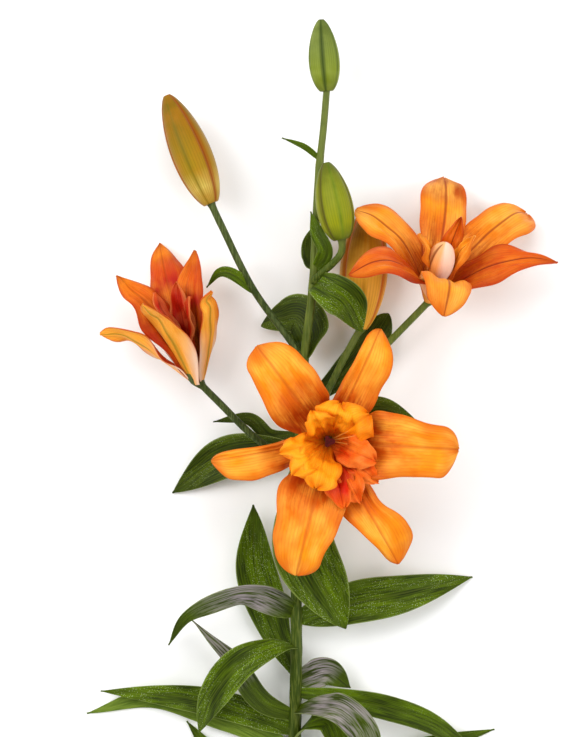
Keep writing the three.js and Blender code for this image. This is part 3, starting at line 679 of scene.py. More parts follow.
def leaf_skin(name, dark, light, below, speck_amount, painted_sheen_amount=0.0, sheen_span=(0.06, 0.28, 0.45, 0.75)):
    """Leaf skin: waxy and softly shining, dark between paler veins above, pale below.

    speck_amount and painted_sheen_amount say how much dried spray and grey-violet painted sheen it has.
    sheen_span holds the shares of the leaf's length where the painted sheen starts, is full, starts to fade,
    and ends."""
    material, tree, shader = new_material(name)
    sheen_start, sheen_full, sheen_fades, sheen_end = sheen_span
    place = add(tree, "ShaderNodeAttribute", attribute_name="place")
    spread = add(tree, "ShaderNodeSeparateXYZ", {0: place.outputs["Vector"]})
    size = add(tree, "ShaderNodeAttribute", attribute_name="size")
    # Parallel veins: eight to each side, drawn together at foot and tip as they follow the leaf's width.
    lines = add(tree, "ShaderNodeMath", {0: spread.outputs["X"], 1: 8.0}, operation="MULTIPLY")
    folded = add(tree, "ShaderNodeMath", {0: lines.outputs[0], 1: 0.5}, operation="PINGPONG")
    vein = add(
        tree, "ShaderNodeMapRange",
        {"Value": folded.outputs[0], "From Max": 0.3, "To Min": 1.0, "To Max": 0.0},
    )
    # Streaks are about 1 mm wide and 17 mm long, and clouds 8 mm wide and 45 mm long.
    stretched = add(tree, "ShaderNodeMapping", {0: size.outputs["Vector"], "Scale": (0.9, 0.06, 1.0)})
    streak = add(tree, "ShaderNodeTexNoise", {"Vector": stretched.outputs[0], "Scale": 1.0, "Detail": 5.0})
    cloud_size = add(tree, "ShaderNodeMapping", {0: size.outputs["Vector"], "Scale": (0.12, 0.022, 1.0)})
    cloud = add(tree, "ShaderNodeTexNoise", {"Vector": cloud_size.outputs[0], "Scale": 1.0, "Detail": 3.0})
    tone = add(
        tree, "ShaderNodeMath", {0: streak.outputs["Fac"], 1: cloud.outputs["Fac"]}, operation="MULTIPLY",
    )
    ground = add(tree, "ShaderNodeMapRange", {"Value": tone.outputs[0], "From Min": 0.15, "From Max": 0.38})
    greens = add(
        tree, "ShaderNodeMix", {0: ground.outputs[0], MIX_A: hex_colour(dark), MIX_B: hex_colour(light)},
        data_type="RGBA",
    )
    vein_share = add(tree, "ShaderNodeMath", {0: vein.outputs[0], 1: 0.12}, operation="MULTIPLY")
    off_middle = add(tree, "ShaderNodeMath", {0: spread.outputs["X"]}, operation="ABSOLUTE")
    midrib = add(
        tree, "ShaderNodeMapRange",
        {"Value": off_middle.outputs[0], "From Min": 0.01, "From Max": 0.05, "To Min": 0.3, "To Max": 0.0},
    )
    # The midrib is sunk, and a thin dark line of painted shade runs along its middle; the margin is thin and
    # pale.
    midrib_shade_line = add(
        tree, "ShaderNodeMapRange",
        {"Value": off_middle.outputs[0], "From Min": 0.01, "From Max": 0.035, "To Min": 0.65, "To Max": 0.0},
    )
    margin = add(
        tree, "ShaderNodeMapRange",
        {"Value": off_middle.outputs[0], "From Min": 0.93, "From Max": 0.98, "To Max": 0.55},
    )
    # Pale specks: dried spray, 0.2 to 0.4 mm across, thicker in some patches than in others.
    cells = add(
        tree, "ShaderNodeTexVoronoi", {"Vector": size.outputs["Vector"], "Scale": 1.35, "Randomness": 1.0},
    )
    dot = add(
        tree, "ShaderNodeMapRange",
        {"Value": cells.outputs["Distance"], "From Min": 0.16, "From Max": 0.3, "To Min": 1.0, "To Max": 0.0},
    )
    chance = add(tree, "ShaderNodeSeparateColor", {0: cells.outputs["Color"]})
    chosen = add(tree, "ShaderNodeMath", {0: chance.outputs[0], 1: 0.4}, operation="GREATER_THAN")
    patchy = add(
        tree, "ShaderNodeMapRange", {"Value": cloud.outputs["Fac"], "From Min": 0.42, "From Max": 0.6},
    )
    dots = add(tree, "ShaderNodeMath", {0: dot.outputs[0], 1: chosen.outputs[0]}, operation="MULTIPLY")
    patches = add(tree, "ShaderNodeMath", {0: dots.outputs[0], 1: patchy.outputs[0]}, operation="MULTIPLY")
    speck = add(tree, "ShaderNodeMath", {0: patches.outputs[0], 1: speck_amount}, operation="MULTIPLY")
    # Grey-violet painted sheen: long streaks of painted highlight where the blade arches, fading towards the
    # tip.
    pale_patch_and_sheen = add(
        tree, "ShaderNodeMapRange",
        {"Value": streak.outputs["Fac"], "From Min": 0.4, "From Max": 0.62, "To Max": painted_sheen_amount},
    )
    arch = add(
        tree, "ShaderNodeMapRange",
        {
            "Value": spread.outputs["Y"], "From Min": sheen_fades, "From Max": sheen_end, "To Min": 1.0,
            "To Max": 0.0,
        },
    )
    past_foot = add(
        tree, "ShaderNodeMapRange",
        {"Value": spread.outputs["Y"], "From Min": sheen_start, "From Max": sheen_full},
    )
    sheen_reach = add(
        tree, "ShaderNodeMath", {0: past_foot.outputs[0], 1: arch.outputs[0]}, operation="MULTIPLY",
    )
    sheen_part = add(
        tree, "ShaderNodeMath", {0: pale_patch_and_sheen.outputs[0], 1: sheen_reach.outputs[0]}, operation="MULTIPLY",
    )
    # The coats of colour, each over the ones before it, among them painted shade and painted sheen. The last
    # is the pale under face.
    colour = greens.outputs[MIX_RESULT]
    for cover, coat in (
        (vein_share.outputs[0], "#7c9420"), (midrib.outputs[0], "#8a9c30"), (midrib_shade_line.outputs[0], "#1c2803"),
        (margin.outputs[0], "#8c9c50"), (speck.outputs[0], "#bccb98"), (sheen_part.outputs[0], "#ac9ca8"),
        (spread.outputs["Z"], below),
    ):
        mixed = add(
            tree, "ShaderNodeMix", {0: cover, MIX_A: colour, MIX_B: hex_colour(coat)}, data_type="RGBA",
        )
        colour = mixed.outputs[MIX_RESULT]
    height = add(tree, "ShaderNodeMath", {0: vein.outputs[0], 1: streak.outputs["Fac"]}, operation="ADD")
    relief = add(tree, "ShaderNodeBump", {"Height": height.outputs[0], "Strength": 0.35, "Distance": 0.0003})
    tree.links.new(colour, shader.inputs["Base Color"])
    tree.links.new(relief.outputs["Normal"], shader.inputs["Normal"])
    shader.inputs["Roughness"].default_value = 0.42
    shader.inputs["Specular IOR Level"].default_value = 0.09
    return material


speckled_leaf = leaf_skin("waxy lily leaf, speckled", "#202c00", "#566e00", "#77853f", 0.95)
clean_leaf = leaf_skin("waxy lily leaf", "#222e00", "#566e00", "#7c8a44", 0.3)
# These two carry grey-violet painted sheen, streaks of painted highlight: the first on the arch, the second
# from the middle to the tip.
sheen_painted_leaf = leaf_skin("waxy lily leaf, painted sheen", "#222c02", "#4e6204", "#8a8f70", 0.15, 0.66)
tip_sheen_painted_leaf = leaf_skin(
    "waxy lily leaf, painted sheen at tip", "#222c02", "#4e6204", "#8a8f70", 0.15, 0.6, sheen_span=(0.4, 0.55, 0.98, 1.0)
)
dark_leaf = leaf_skin("waxy lily leaf, shaded", "#1a2400", "#445400", "#636f3a", 0.4)
pale_leaf = leaf_skin("young pale lily leaf", "#425a14", "#73882e", "#93a25e", 0.1)

LEAF_THICKNESS = 0.9
UPWARDS = (0, 0, 1)


def leaf(name, node, from_height, midrib, width, material, route=None, **options):
    """A leaf from a height on the stem, or on another route, along a midrib through the given places.

    options are values for the blade's shape, and face, the way that its upper face looks."""
    foot = on_route(stem_centre if route is None else route, from_height)
    points = np.array([foot, *midrib], float)
    chord = points[-1] - foot
    shape = {
        "width": width, "widest": 0.45, "blunt": 0.9, "foot": 5, "cup": 0.18, "roll": (0, 0),
        "channel": 0.6, "pleat": 0.12, "ripple": 0.9, "curl": 0.0, "crumple": 0.0, "outline": None,
        "seed": len(bpy.data.objects),
        "side": np.cross(chord / np.linalg.norm(chord), options.pop("face", UPWARDS)),
    }
    shape.update(options)
    rings, attributes = blade(name, points, shape, LEAF_THICKNESS)
    carry(closed_piece(name, rings, attributes, material), node)


# From the cut end up, each leaf: the height of its foot on the stem, places along its midrib, and its width.
leaf("leaf_01", "leaf_01_right", 22, [(40, 42, 4), (85, 60, 3), (127, 71, 1)], 17, clean_leaf, cup=0.12)
leaf("leaf_02", "leaf_02_left", 18, [(-24, 36, 6), (-48, 54, 3.5), (-67, 76, 1)], 15, clean_leaf, cup=0.12)
leaf(
    "leaf_03", "leaf_03_left_pale", 58, [(-40, 78, 6), (-85, 91, 2.5), (-130, 81, 1)], 17, pale_leaf, cup=0.1,
)
leaf(
    "leaf_04", "leaf_04_left_long", 71, [(-30, 83, 13), (-66, 92, 14), (-121, 95.5, 6)], 17, speckled_leaf,
    widest=0.42, cup=0.15,
)
leaf(
    "leaf_05", "leaf_05_right_low", 66, [(12, 77, 20), (23, 78, 24), (30, 58, 17), (31, 38, 8)], 15,
    clean_leaf,
)
leaf(
    "leaf_06", "leaf_06_left_thin", 80, [(-20, 90, 16), (-38, 115, 22), (-63, 141, 22)], 14, tip_sheen_painted_leaf,
    roll=(0, 55),
)
leaf(
    "leaf_07", "leaf_07_right_arch", 84, [(16, 88, 32), (32, 86, 43), (46, 68, 34), (50, 36, 8)], 19,
    sheen_painted_leaf,
    widest=0.5,
)
leaf(
    "leaf_08", "leaf_08_right_long", 95, [(32, 92, 22), (60, 86, 22), (90, 74, 14), (119, 52, 2.5)], 15,
    clean_leaf, widest=0.5,
)
leaf(
    "leaf_09", "leaf_09_behind_right", 102, [(12, 106, 14), (23, 108, 16), (36, 98, 12)], 18, sheen_painted_leaf,
    foot=4, face=(-0.4, 0, 1),
)
leaf(
    "leaf_10", "leaf_10_behind_left", 106, [(-10, 130, 7), (-23, 172, 8), (-25, 213, 14)], 26, speckled_leaf,
    widest=0.55,
)
leaf(
    "leaf_11", "leaf_11_front_droop", 124, [(-11, 125, 32), (-33, 115, 40), (-50, 94, 29), (-59, 70, 12)], 21,
    speckled_leaf, widest=0.55, roll=(25, -8),
)
leaf(
    "leaf_12", "leaf_12_right_broad", 142, [(35, 151, 20), (70, 158, 17), (113, 167, 1.5)], 26, speckled_leaf,
    widest=0.42, ripple=1.3,
)
leaf(
    "leaf_13", "leaf_13_left_twist", 146, [(-24, 158, 38), (-44, 155, 38), (-66, 144, 26), (-78, 125, 13)],
    17,
    sheen_painted_leaf, roll=(-35, -50), widest=0.35,
)
leaf(
    "leaf_14", "leaf_14_front_hanging", 242, [(5, 212, 40), (9, 182, 38), (33, 136, 24)], 39, speckled_leaf,
    widest=0.55, blunt=0.8,
)
leaf(
    "leaf_15", "leaf_15_left_broad", 247, [(-16, 247, 17), (-45, 241, 9), (-76, 220, 1.5)], 26, dark_leaf,
    widest=0.5,
)
leaf("leaf_16", "leaf_16_right_upper", 254, [(30, 268, 38), (55, 274, 42), (80, 263, 36)], 16, dark_leaf)
leaf(
    "leaf_17", "leaf_17_behind_right_upper", 276,
    [(22, 287, 13), (40, 303, 10), (51, 318, 10), (60, 333, 12)], 22,
    dark_leaf, widest=0.7, blunt=0.6,
)
leaf(
    "leaf_18", "leaf_18_behind_curled", 303, [(11, 318, 20), (4, 331, 16), (-7, 330, 12), (-20, 325, 7)], 28,
    dark_leaf, widest=0.45, blunt=0.7,
)
leaf(
    "leaf_19", "leaf_19_bud_foot", 350, [(18, 349, 40), (33, 340, 42), (43, 321, 34)], 24, speckled_leaf,
    widest=0.5,
)
leaf(
    "leaf_20", "leaf_20_cupped", 360, [(12, 367, 21), (12, 378, 18), (15, 388, 20)], 13, dark_leaf, blunt=0.6,
    foot=4,
)
leaf("stem_bract", "bract_stem", 429, [(6, 437, 31), (-7, 442, 30)], 3.4, clean_leaf, foot=2.4, ripple=0.2)
leaf(
    "bud_stalk_bract", "bract_bud_stalk", 346, [(-37, 357, 29), (-46, 358, 26), (-54, 349, 22)], 7,
    clean_leaf,
    route=upper_left_stalk, foot=3, ripple=0.3,
)
# Two narrow leaflets that are too slight for a solid of their own.
leaf("leaflet_left", None, 257, [(-14, 256, 18), (-28, 267, 16), (-50, 265, 14)], 9, dark_leaf, foot=3)
leaf(
    "leaflet_bud", None, 359, [(20, 371, 38), (15, 383, 37), (11, 396, 32)], 10, clean_leaf, foot=3,
    face=(-0.3, 0, 1),
)

# ---- Tepals of the open flowers ----
# A lily has six petal-like tepals, three inner and three outer. Each is one fleshy orange blade with a
# channelled midrib, fine veins drawn together at both ends, a redder, spotted throat and a soft edge.

TEPAL_THICKNESS = 1.3


def tepal_skin(
    name, lengthwise, light, edge, vein_colour, rib_colour, back, back_rib, throat_spots, rib_share=0.5,
    pale_foot=0.0, rays=0.75,
):
    """Tepal skin: soft, fleshy and hardly shining, so the light sinks in and glows at the thin edges.

    It takes colours from throat to tip, and for the lighter patches, the edge, the veins, the midrib, the
    outer face and its rib, then the share of spots, rib, pale foot and throat rays."""
    material, tree, shader = new_material(name)
    place = add(tree, "ShaderNodeAttribute", attribute_name="place")
    spread = add(tree, "ShaderNodeSeparateXYZ", {0: place.outputs["Vector"]})
    size = add(tree, "ShaderNodeAttribute", attribute_name="size")
    # Clouds are about 9 mm wide and 20 mm long, and streaks 0.8 mm wide and 20 mm long.
    cloud_size = add(tree, "ShaderNodeMapping", {0: size.outputs["Vector"], "Scale": (0.11, 0.05, 1.0)})
    cloud = add(tree, "ShaderNodeTexNoise", {"Vector": cloud_size.outputs[0], "Scale": 1.0, "Detail": 3.0})
    streak_size = add(tree, "ShaderNodeMapping", {0: size.outputs["Vector"], "Scale": (1.3, 0.05, 1.0)})
    streak = add(tree, "ShaderNodeTexNoise", {"Vector": streak_size.outputs[0], "Scale": 1.0, "Detail": 4.0})
    sway = add(tree, "ShaderNodeMath", {0: cloud.outputs["Fac"], 1: 0.16, 2: -0.08}, operation="MULTIPLY_ADD")
    along = add(tree, "ShaderNodeMath", {0: spread.outputs["Y"], 1: sway.outputs[0]}, operation="ADD")
    base = add(tree, "ShaderNodeValToRGB", {"Fac": along.outputs[0]}, lengthwise)
    pale_patch_and_sheen = add(
        tree, "ShaderNodeMapRange",
        {"Value": cloud.outputs["Fac"], "From Min": 0.4, "From Max": 0.66, "To Max": 0.8},
    )
    # The redder flush lies in patches about 20 mm wide and 30 mm long.
    patch_size = add(
        tree, "ShaderNodeMapping",
        {0: size.outputs["Vector"], "Location": (31, 7, 0), "Scale": (0.05, 0.035, 1.0)},
    )
    patch = add(tree, "ShaderNodeTexNoise", {"Vector": patch_size.outputs[0], "Scale": 1.0, "Detail": 2.0})
    flush = add(
        tree, "ShaderNodeMapRange",
        {"Value": patch.outputs["Fac"], "From Min": 0.5, "From Max": 0.74, "To Max": 0.75},
    )
    off_middle = add(tree, "ShaderNodeMath", {0: spread.outputs["X"]}, operation="ABSOLUTE")
    rim = add(
        tree, "ShaderNodeMapRange",
        {"Value": off_middle.outputs[0], "From Min": 0.7, "From Max": 1.0, "To Max": 0.75},
    )
    # Nine veins to each side of the midrib, bent a little by the streaks.
    lines = add(tree, "ShaderNodeMath", {0: spread.outputs["X"], 1: 9.0}, operation="MULTIPLY")
    bent = add(
        tree, "ShaderNodeMath", {0: streak.outputs["Fac"], 1: 1.1, 2: lines.outputs[0]},
        operation="MULTIPLY_ADD",
    )
    folded = add(tree, "ShaderNodeMath", {0: bent.outputs[0], 1: 0.5}, operation="PINGPONG")
    vein = add(
        tree, "ShaderNodeMapRange",
        {"Value": folded.outputs[0], "From Max": 0.24, "To Min": 1.0, "To Max": 0.0},
    )
    vein_part = add(
        tree, "ShaderNodeMath", {0: vein.outputs[0], 1: streak.outputs["Fac"]}, operation="MULTIPLY",
    )
    vein_share = add(tree, "ShaderNodeMath", {0: vein_part.outputs[0], 1: 0.6}, operation="MULTIPLY")
    rib = add(
        tree, "ShaderNodeMapRange",
        {
            "Value": off_middle.outputs[0], "From Min": 0.015, "From Max": 0.075, "To Min": rib_share,
            "To Max": 0.0,
        },
    )
    # Brown-red streaks run out of the throat between the veins.
    reach = add(
        tree, "ShaderNodeMapRange",
        {"Value": along.outputs[0], "From Min": 0.34, "From Max": 0.64, "To Min": 1.0, "To Max": 0.0},
    )
    stroke = add(
        tree, "ShaderNodeMapRange",
        {"Value": streak.outputs["Fac"], "From Min": 0.46, "From Max": 0.66, "To Max": rays},
    )
    strokes = add(tree, "ShaderNodeMath", {0: stroke.outputs[0], 1: reach.outputs[0]}, operation="MULTIPLY")
    # Small dark red spots in the throat, about 1 mm across.
    cells = add(tree, "ShaderNodeTexVoronoi", {"Vector": size.outputs["Vector"], "Scale": 0.4})
    dot = add(
        tree, "ShaderNodeMapRange",
        {
            "Value": cells.outputs["Distance"], "From Min": 0.16, "From Max": 0.26, "To Min": throat_spots,
            "To Max": 0.0,
        },
    )
    dots = add(tree, "ShaderNodeMath", {0: dot.outputs[0], 1: reach.outputs[0]}, operation="MULTIPLY")
    # The coats of colour on the inner face, each over the ones before it. The rim's is on both faces.
    colour = base.outputs[0]
    for cover, coat in (
        (pale_patch_and_sheen, light), (flush, edge), (rim, edge), (vein_share, vein_colour), (rib, rib_colour),
        (strokes, "#a83a04"), (dots, "#962a04"),
    ):
        mixed = add(
            tree, "ShaderNodeMix", {0: cover.outputs[0], MIX_A: colour, MIX_B: hex_colour(coat)},
            data_type="RGBA",
        )
        colour = mixed.outputs[MIX_RESULT]
        if cover == rim:
            rimmed = colour
    back_rib_mask = add(
        tree, "ShaderNodeMapRange",
        {"Value": off_middle.outputs[0], "From Min": 0.03, "From Max": 0.14, "To Min": 0.85, "To Max": 0.0},
    )
    back_streaks = add(
        tree, "ShaderNodeMix", {0: stroke.outputs[0], MIX_A: hex_colour(back), MIX_B: hex_colour(light)},
        data_type="RGBA",
    )
    back_base = add(
        tree, "ShaderNodeMix", {0: rim.outputs[0], MIX_A: back_streaks.outputs[MIX_RESULT], MIX_B: rimmed},
        data_type="RGBA",
    )
    # The outer face pales to a pinkish white along the edges near the foot.
    near_foot = add(
        tree, "ShaderNodeMapRange",
        {"Value": spread.outputs["Y"], "From Min": 0.3, "From Max": 0.62, "To Min": 1.0, "To Max": 0.0},
    )
    near_edge = add(
        tree, "ShaderNodeMapRange",
        {"Value": off_middle.outputs[0], "From Min": 0.3, "From Max": 0.75, "To Max": pale_foot},
    )
    pale = add(
        tree, "ShaderNodeMath", {0: near_foot.outputs[0], 1: near_edge.outputs[0]}, operation="MULTIPLY",
    )
    back_colour = back_base.outputs[MIX_RESULT]
    for cover, coat in ((pale, "#e8bfa0"), (back_rib_mask, back_rib)):
        mixed = add(
            tree, "ShaderNodeMix", {0: cover.outputs[0], MIX_A: back_colour, MIX_B: hex_colour(coat)},
            data_type="RGBA",
        )
        back_colour = mixed.outputs[MIX_RESULT]
    turned = add(
        tree, "ShaderNodeMix", {0: spread.outputs["Z"], MIX_A: colour, MIX_B: back_colour}, data_type="RGBA",
    )
    height = add(tree, "ShaderNodeMath", {0: vein.outputs[0], 1: streak.outputs["Fac"]}, operation="ADD")
    relief = add(tree, "ShaderNodeBump", {"Height": height.outputs[0], "Strength": 0.22, "Distance": 0.0003})
    tree.links.new(turned.outputs[MIX_RESULT], shader.inputs["Base Color"])
    tree.links.new(relief.outputs["Normal"], shader.inputs["Normal"])
    shader.inputs["Roughness"].default_value = 0.5
    shader.inputs["Specular IOR Level"].default_value = 0.13
    shader.inputs["Subsurface Weight"].default_value = 0.15
    shader.inputs["Subsurface Radius"].default_value = (0.003, 0.0012, 0.0004)
    return material


bright_orange = tepal_skin(
    "bright orange lily tepal",
    [
        (0.0, "#8c2202"), (0.32, "#ac3202"), (0.46, "#d05804"), (0.6, "#e87c06"), (0.84, "#ee920e"),
        (0.94, "#d87008"), (1.0, "#ac4a06"),
    ],
    "#f6ae3c", "#cc5e06", "#cc5404", "#b04404", "#e8923a", "#b07a1a", 0.3,
)


def petal(name, node, flower, tip, width, crest, material, slot, **options):
    """A tepal or petaloid: up beside the flower's axis, out over a crest, and on to its tip.

    crest is a height above the flower's foot. options are start (how far out and up the blade starts), rise
    (the share of the way out that it takes to climb), and values for the blade's shape."""
    axis, foot = flower["axis"], flower["foot"]
    outward = np.array(tip, float) - foot
    outward -= axis * (outward @ axis)
    radius = np.linalg.norm(outward)
    outward /= radius
    start_out, start_up = options.pop("start", (RECEPTACLE_RADIUS * 0.6, RECEPTACLE_HEIGHT * 0.15))
    rise = options.pop("rise", 0.2)
    stops = (
        (start_out, start_up),
        (start_out + (radius - start_out) * rise, start_up + (crest - start_up) * 0.48),
        (start_out + (radius - start_out) * (rise + 0.27), start_up + (crest - start_up) * 0.86),
        (radius * 0.78, crest),
    )
    points = [foot + outward * out + axis * up for out, up in stops]
    shape = {
        "width": width, "widest": 0.6, "blunt": 0.75, "foot": 7, "cup": 0.15, "roll": (0, 0),
        "channel": 1.2, "pleat": 0.7, "ripple": 2.3, "curl": 0.16, "crumple": 0.34, "outline": None,
        "seed": len(bpy.data.objects),
        "side": np.cross(outward, axis),
    }
    shape.update(options)
    rings, attributes = blade(name, [*points, tip], shape, TEPAL_THICKNESS, rows=80, across=33)
    carry(closed_piece(name, rings, attributes, material), node)


OUTER_START = (RECEPTACLE_RADIUS * 0.6, -1)  # the outer three start just below the inner three


def front_tepal(where, tip, width, crest, **options):
    """One of the front flower's tepals, which are wide open."""
    name = "front_tepal_" + where
    petal(name + "_blade", name, front, tip, width, crest, bright_orange, "orange_tepal", **options)


# Each tepal: its tip, its width and the height of its crest.
front_tepal("upper_left", (-22, 312, 74), 38, 37, ripple=2.4, outline=[
    (0, 3.5, 3.5), (0.2, 10, 10), (0.38, 20, 18), (0.6, 18.5, 19), (0.78, 15, 18.5), (0.9, 13, 14),
    (1, 13, 7),
])
front_tepal("right", (101, 249, 76), 44, 38, ripple=2.2, outline=[
    (0, 3.5, 3.5), (0.25, 14, 14), (0.42, 21, 22), (0.56, 20, 20), (0.7, 16, 18.5), (0.8, 13.5, 18),
    (0.9, 14, 17.5), (1, 15, 15),
])
front_tepal("bottom", (1.9, 172, 74), 38, 36, ripple=2.0, outline=[
    (0, 3.5, 3.5), (0.22, 12, 12), (0.43, 20, 24), (0.54, 20, 23), (0.65, 17.5, 20.5), (0.79, 14, 18.5),
    (0.9, 13, 16), (1, 12, 13),
])
front_tepal("upper_right", (53.5, 322.5, 68), 29, 30, start=OUTER_START, ripple=1.8, outline=[
    (0, 3.5, 3.5), (0.25, 9, 12), (0.45, 8, 17), (0.6, 7.5, 15), (0.73, 6.5, 18.5), (0.82, 6, 15),
    (0.9, 6, 10), (1, 6, 6),
])
front_tepal("lower_right", (64.5, 178.5, 62), 31, 27, start=OUTER_START, ripple=1.8, outline=[
    (0, 3.5, 3.5), (0.25, 8, 12), (0.45, 9, 16), (0.56, 9, 14), (0.64, 13, 11.5), (0.7, 17, 10),
    (0.78, 18, 7.5), (0.87, 16, 5.5), (1, 9, 5),
])
front_tepal("left", (-50, 242, 68), 25, 29, start=OUTER_START, ripple=1.4, outline=[
    (0, 3.5, 3.5), (0.3, 10, 6), (0.5, 14, 4), (0.7, 16, 4), (0.82, 15.5, 4.5), (0.9, 12, 4.5), (1, 5, 4),
])

ribbed_orange = tepal_skin(
    "orange lily tepal with a red rib",
    [(0.0, "#7e2004"), (0.3, "#b44804"), (0.5, "#de780a"), (0.8, "#ea9016"), (1.0, "#c4600c")],
    "#f4aa40", "#cc5806", "#c24c04", "#8e3006", "#e6943a", "#b0741a", 0.4, 0.8,
)
burnt_orange = tepal_skin(
    "burnt orange lily tepal with a dark red rib",
    [(0.0, "#7a1c02"), (0.3, "#ae3602"), (0.6, "#cc5002"), (0.85, "#d05a04"), (1.0, "#a42c04")],
    "#de7c18", "#b43404", "#a02c02", "#701804", "#e8a074", "#a8681a", 0.4, 0.85,
)

brown_tipped = tepal_skin(
    "orange lily tepal with a brown folded tip",
    [
        (0.0, "#7e2004"), (0.3, "#b44804"), (0.48, "#de780a"), (0.64, "#ea9016"), (0.74, "#b4520c"),
        (0.86, "#8c2c08"),
    ],
    "#f4aa40", "#cc5806", "#c24c04", "#8e3006", "#e6943a", "#b0741a", 0.4, 0.8,
)


def right_tepal(where, tip, width, crest, material=ribbed_orange, **options):
    """One of the right flower's tepals, which face away to the top and the right."""
    name = "right_tepal_" + where
    petal(name + "_blade", name, right, tip, width, crest, material, "orange_tepal", **options)


right_tepal("top", (95, 418, 5), 31, 42, brown_tipped, outline=[
    (0, 3.5, 3.5), (0.3, 11, 10), (0.55, 16, 13.5), (0.68, 17, 14.5), (0.78, 15.5, 13), (0.88, 12, 10),
    (1, 9, 7),
])
right_tepal("lower_left", (34, 355, 82), 26, 44, burnt_orange, curl=0.3)
right_tepal("right", (164, 364, 40), 25, 42, burnt_orange, start=OUTER_START, widest=0.45, blunt=0.9)
right_tepal("upper_left", (39, 397, 40), 27, 37, start=OUTER_START, outline=[
    (0, 3.5, 3.5), (0.3, 8, 9), (0.55, 11, 14), (0.75, 12.5, 15), (0.9, 11, 12), (1, 8, 8),
])
right_tepal("upper_right", (147, 396, 1.6), 30, 39, outline=[
    (0, 3.5, 3.5), (0.3, 10, 10), (0.55, 14, 15), (0.75, 14, 16), (0.88, 12, 15), (1, 9, 12),
])
right_tepal("bottom", (91.5, 330, 92), 27, 50, start=OUTER_START, ripple=2.2, outline=[
    (0, 3.5, 3.5), (0.3, 10, 13), (0.55, 15, 17), (0.75, 15, 17), (0.9, 10, 12), (1, 6, 6),
])

# The left flower's inner faces: deeper red and darker from the throat to the middle, partly their own colour
# and partly painted shade inside the half-open cup.
red_orange_shaded = tepal_skin(
    "red-orange half-open lily tepal",
    [
        (0.0, "#500802"), (0.4, "#8c0a02"), (0.62, "#ae1602"), (0.76, "#d45a06"), (0.9, "#dc780e"),
        (1.0, "#a03a06"),
    ],
    "#e08018", "#ac2c04", "#a01c04", "#983a06", "#f0a436", "#a07c18", 0.5, 0.4, 1.0,
)


def left_tepal(where, tip, width, crest, **options):
    """One of the left flower's tepals, which are half open."""
    name = "left_tepal_" + where
    petal(name + "_blade", name, left, tip, width, crest, red_orange_shaded, "orange_tepal", **options)


left_tepal("centre", (-84, 377, 1.2), 25, 66, widest=0.55)
left_tepal("inner_right", (-61, 372, 26), 24, 62, widest=0.55)
left_tepal("inner_left", (-110, 356, 34), 26, 64, widest=0.55)
left_tepal("outer_left", (-120, 320, 36), 20, 44, start=OUTER_START, rise=0.3, roll=(20, 70))
left_tepal("front", (-92, 338, 66), 36, 57, start=OUTER_START, ripple=0.4, outline=[
    (0, 3.5, 3.5), (0.2, 10, 13), (0.4, 17, 18), (0.55, 18, 17), (0.75, 13, 12), (0.9, 8, 8), (1, 4, 4),
])
left_tepal(
    "outer_right", (-50, 346, 52), 24, 50, start=OUTER_START, rise=0.5, widest=0.5, roll=(-20, -40),
    ripple=0.6,
)

# ---- Petaloids, cream centre and pistil ----
# In a double lily the stamens have turned into small crumpled petals, and a pistil is left between them.
# The right flower's centre is one folded cream petaloid.

crown_orange = tepal_skin(
    "orange lily petaloid",
    [(0.0, "#c46a08"), (0.3, "#e67a06"), (0.55, "#f08a08"), (0.8, "#f6a014"), (1.0, "#e88206")],
    "#fba41e", "#dc6a04", "#d45404", "#c44c04", "#f0941c", "#c46e10", 0.2, 0.18, rays=0.3,
)
crown_red = tepal_skin(
    "red-orange lily petaloid",
    [(0.0, "#b83404"), (0.3, "#d04004"), (0.55, "#dc3e08"), (0.85, "#ea6410"), (1.0, "#e86a1c")],
    "#f28a2c", "#ec7a2c", "#c02c04", "#a82204", "#ea8424", "#c85c10", 0.4, 0.3,
)
# The left flower's petaloids are darkest near the foot: partly their deep red and partly painted shade deep
# inside the half-open flower.
crown_dark_shaded = tepal_skin(
    "dark red lily petaloid",
    [(0.0, "#4a0402"), (0.5, "#8a0a02"), (0.85, "#aa1802"), (1.0, "#d86424")],
    "#b82204", "#e08848", "#7c0a02", "#7c1404", "#c8501c", "#a03c10", 0.5,
)
deep_red = tepal_skin(
    "deep red rolled lily petaloid",
    [(0.0, "#7a0402"), (0.5, "#c01004"), (0.8, "#d4260a"), (0.94, "#e86c14"), (1.0, "#ee8a20")],
    "#e04a18", "#ea7a24", "#b00c04", "#a00c04", "#e0601c", "#c03c10", 0.4,
)
PETALOID = {
    "start": (2.6, RECEPTACLE_HEIGHT * 0.8), "foot": 3.4, "rise": 0.28, "ripple": 2.0, "curl": 0.2,
    "crumple": 0.85,
}


def petaloid(name, node, flower, tip, width, crest, material=crown_orange, **options):
    """A small crumpled petal of a flower's crown."""
    petal(name, node, flower, tip, width, crest, material, "petaloid", **{**PETALOID, **options})


# The outline of the broad petaloids, and then each petaloid like a tepal: its tip, width and crest.
BROAD = [(0, 2, 2), (0.3, 6, 6), (0.55, 11, 11), (0.75, 13, 13), (0.9, 11.5, 11.5), (1, 8, 8)]
petaloid("front_crown_upper_left", "front_petaloid_upper_left", front, (11.5, 272.5, 83), 20, 41, blunt=0.5)
petaloid(
    "front_crown_upper_right", "front_petaloid_upper_right", front, (46.5, 270.5, 80), 25, 38, outline=BROAD,
)
petaloid("front_crown_upper", None, front, (29, 277, 74), 22, 37, outline=BROAD)
petaloid("front_crown_right", "front_petaloid_right", front, (50, 242, 80), 20, 40, crown_red, blunt=0.5)
petaloid("front_crown_right_low", None, front, (52, 229, 72), 16, 33, crown_red, blunt=0.5)
petaloid(
    "front_crown_lower_right", "front_petaloid_lower_right", front, (31, 213, 78), 18, 36, deep_red,
    blunt=0.5,
)
petaloid("front_crown_lower_right_small", None, front, (41, 217, 70), 16, 34, crown_red, blunt=0.5)
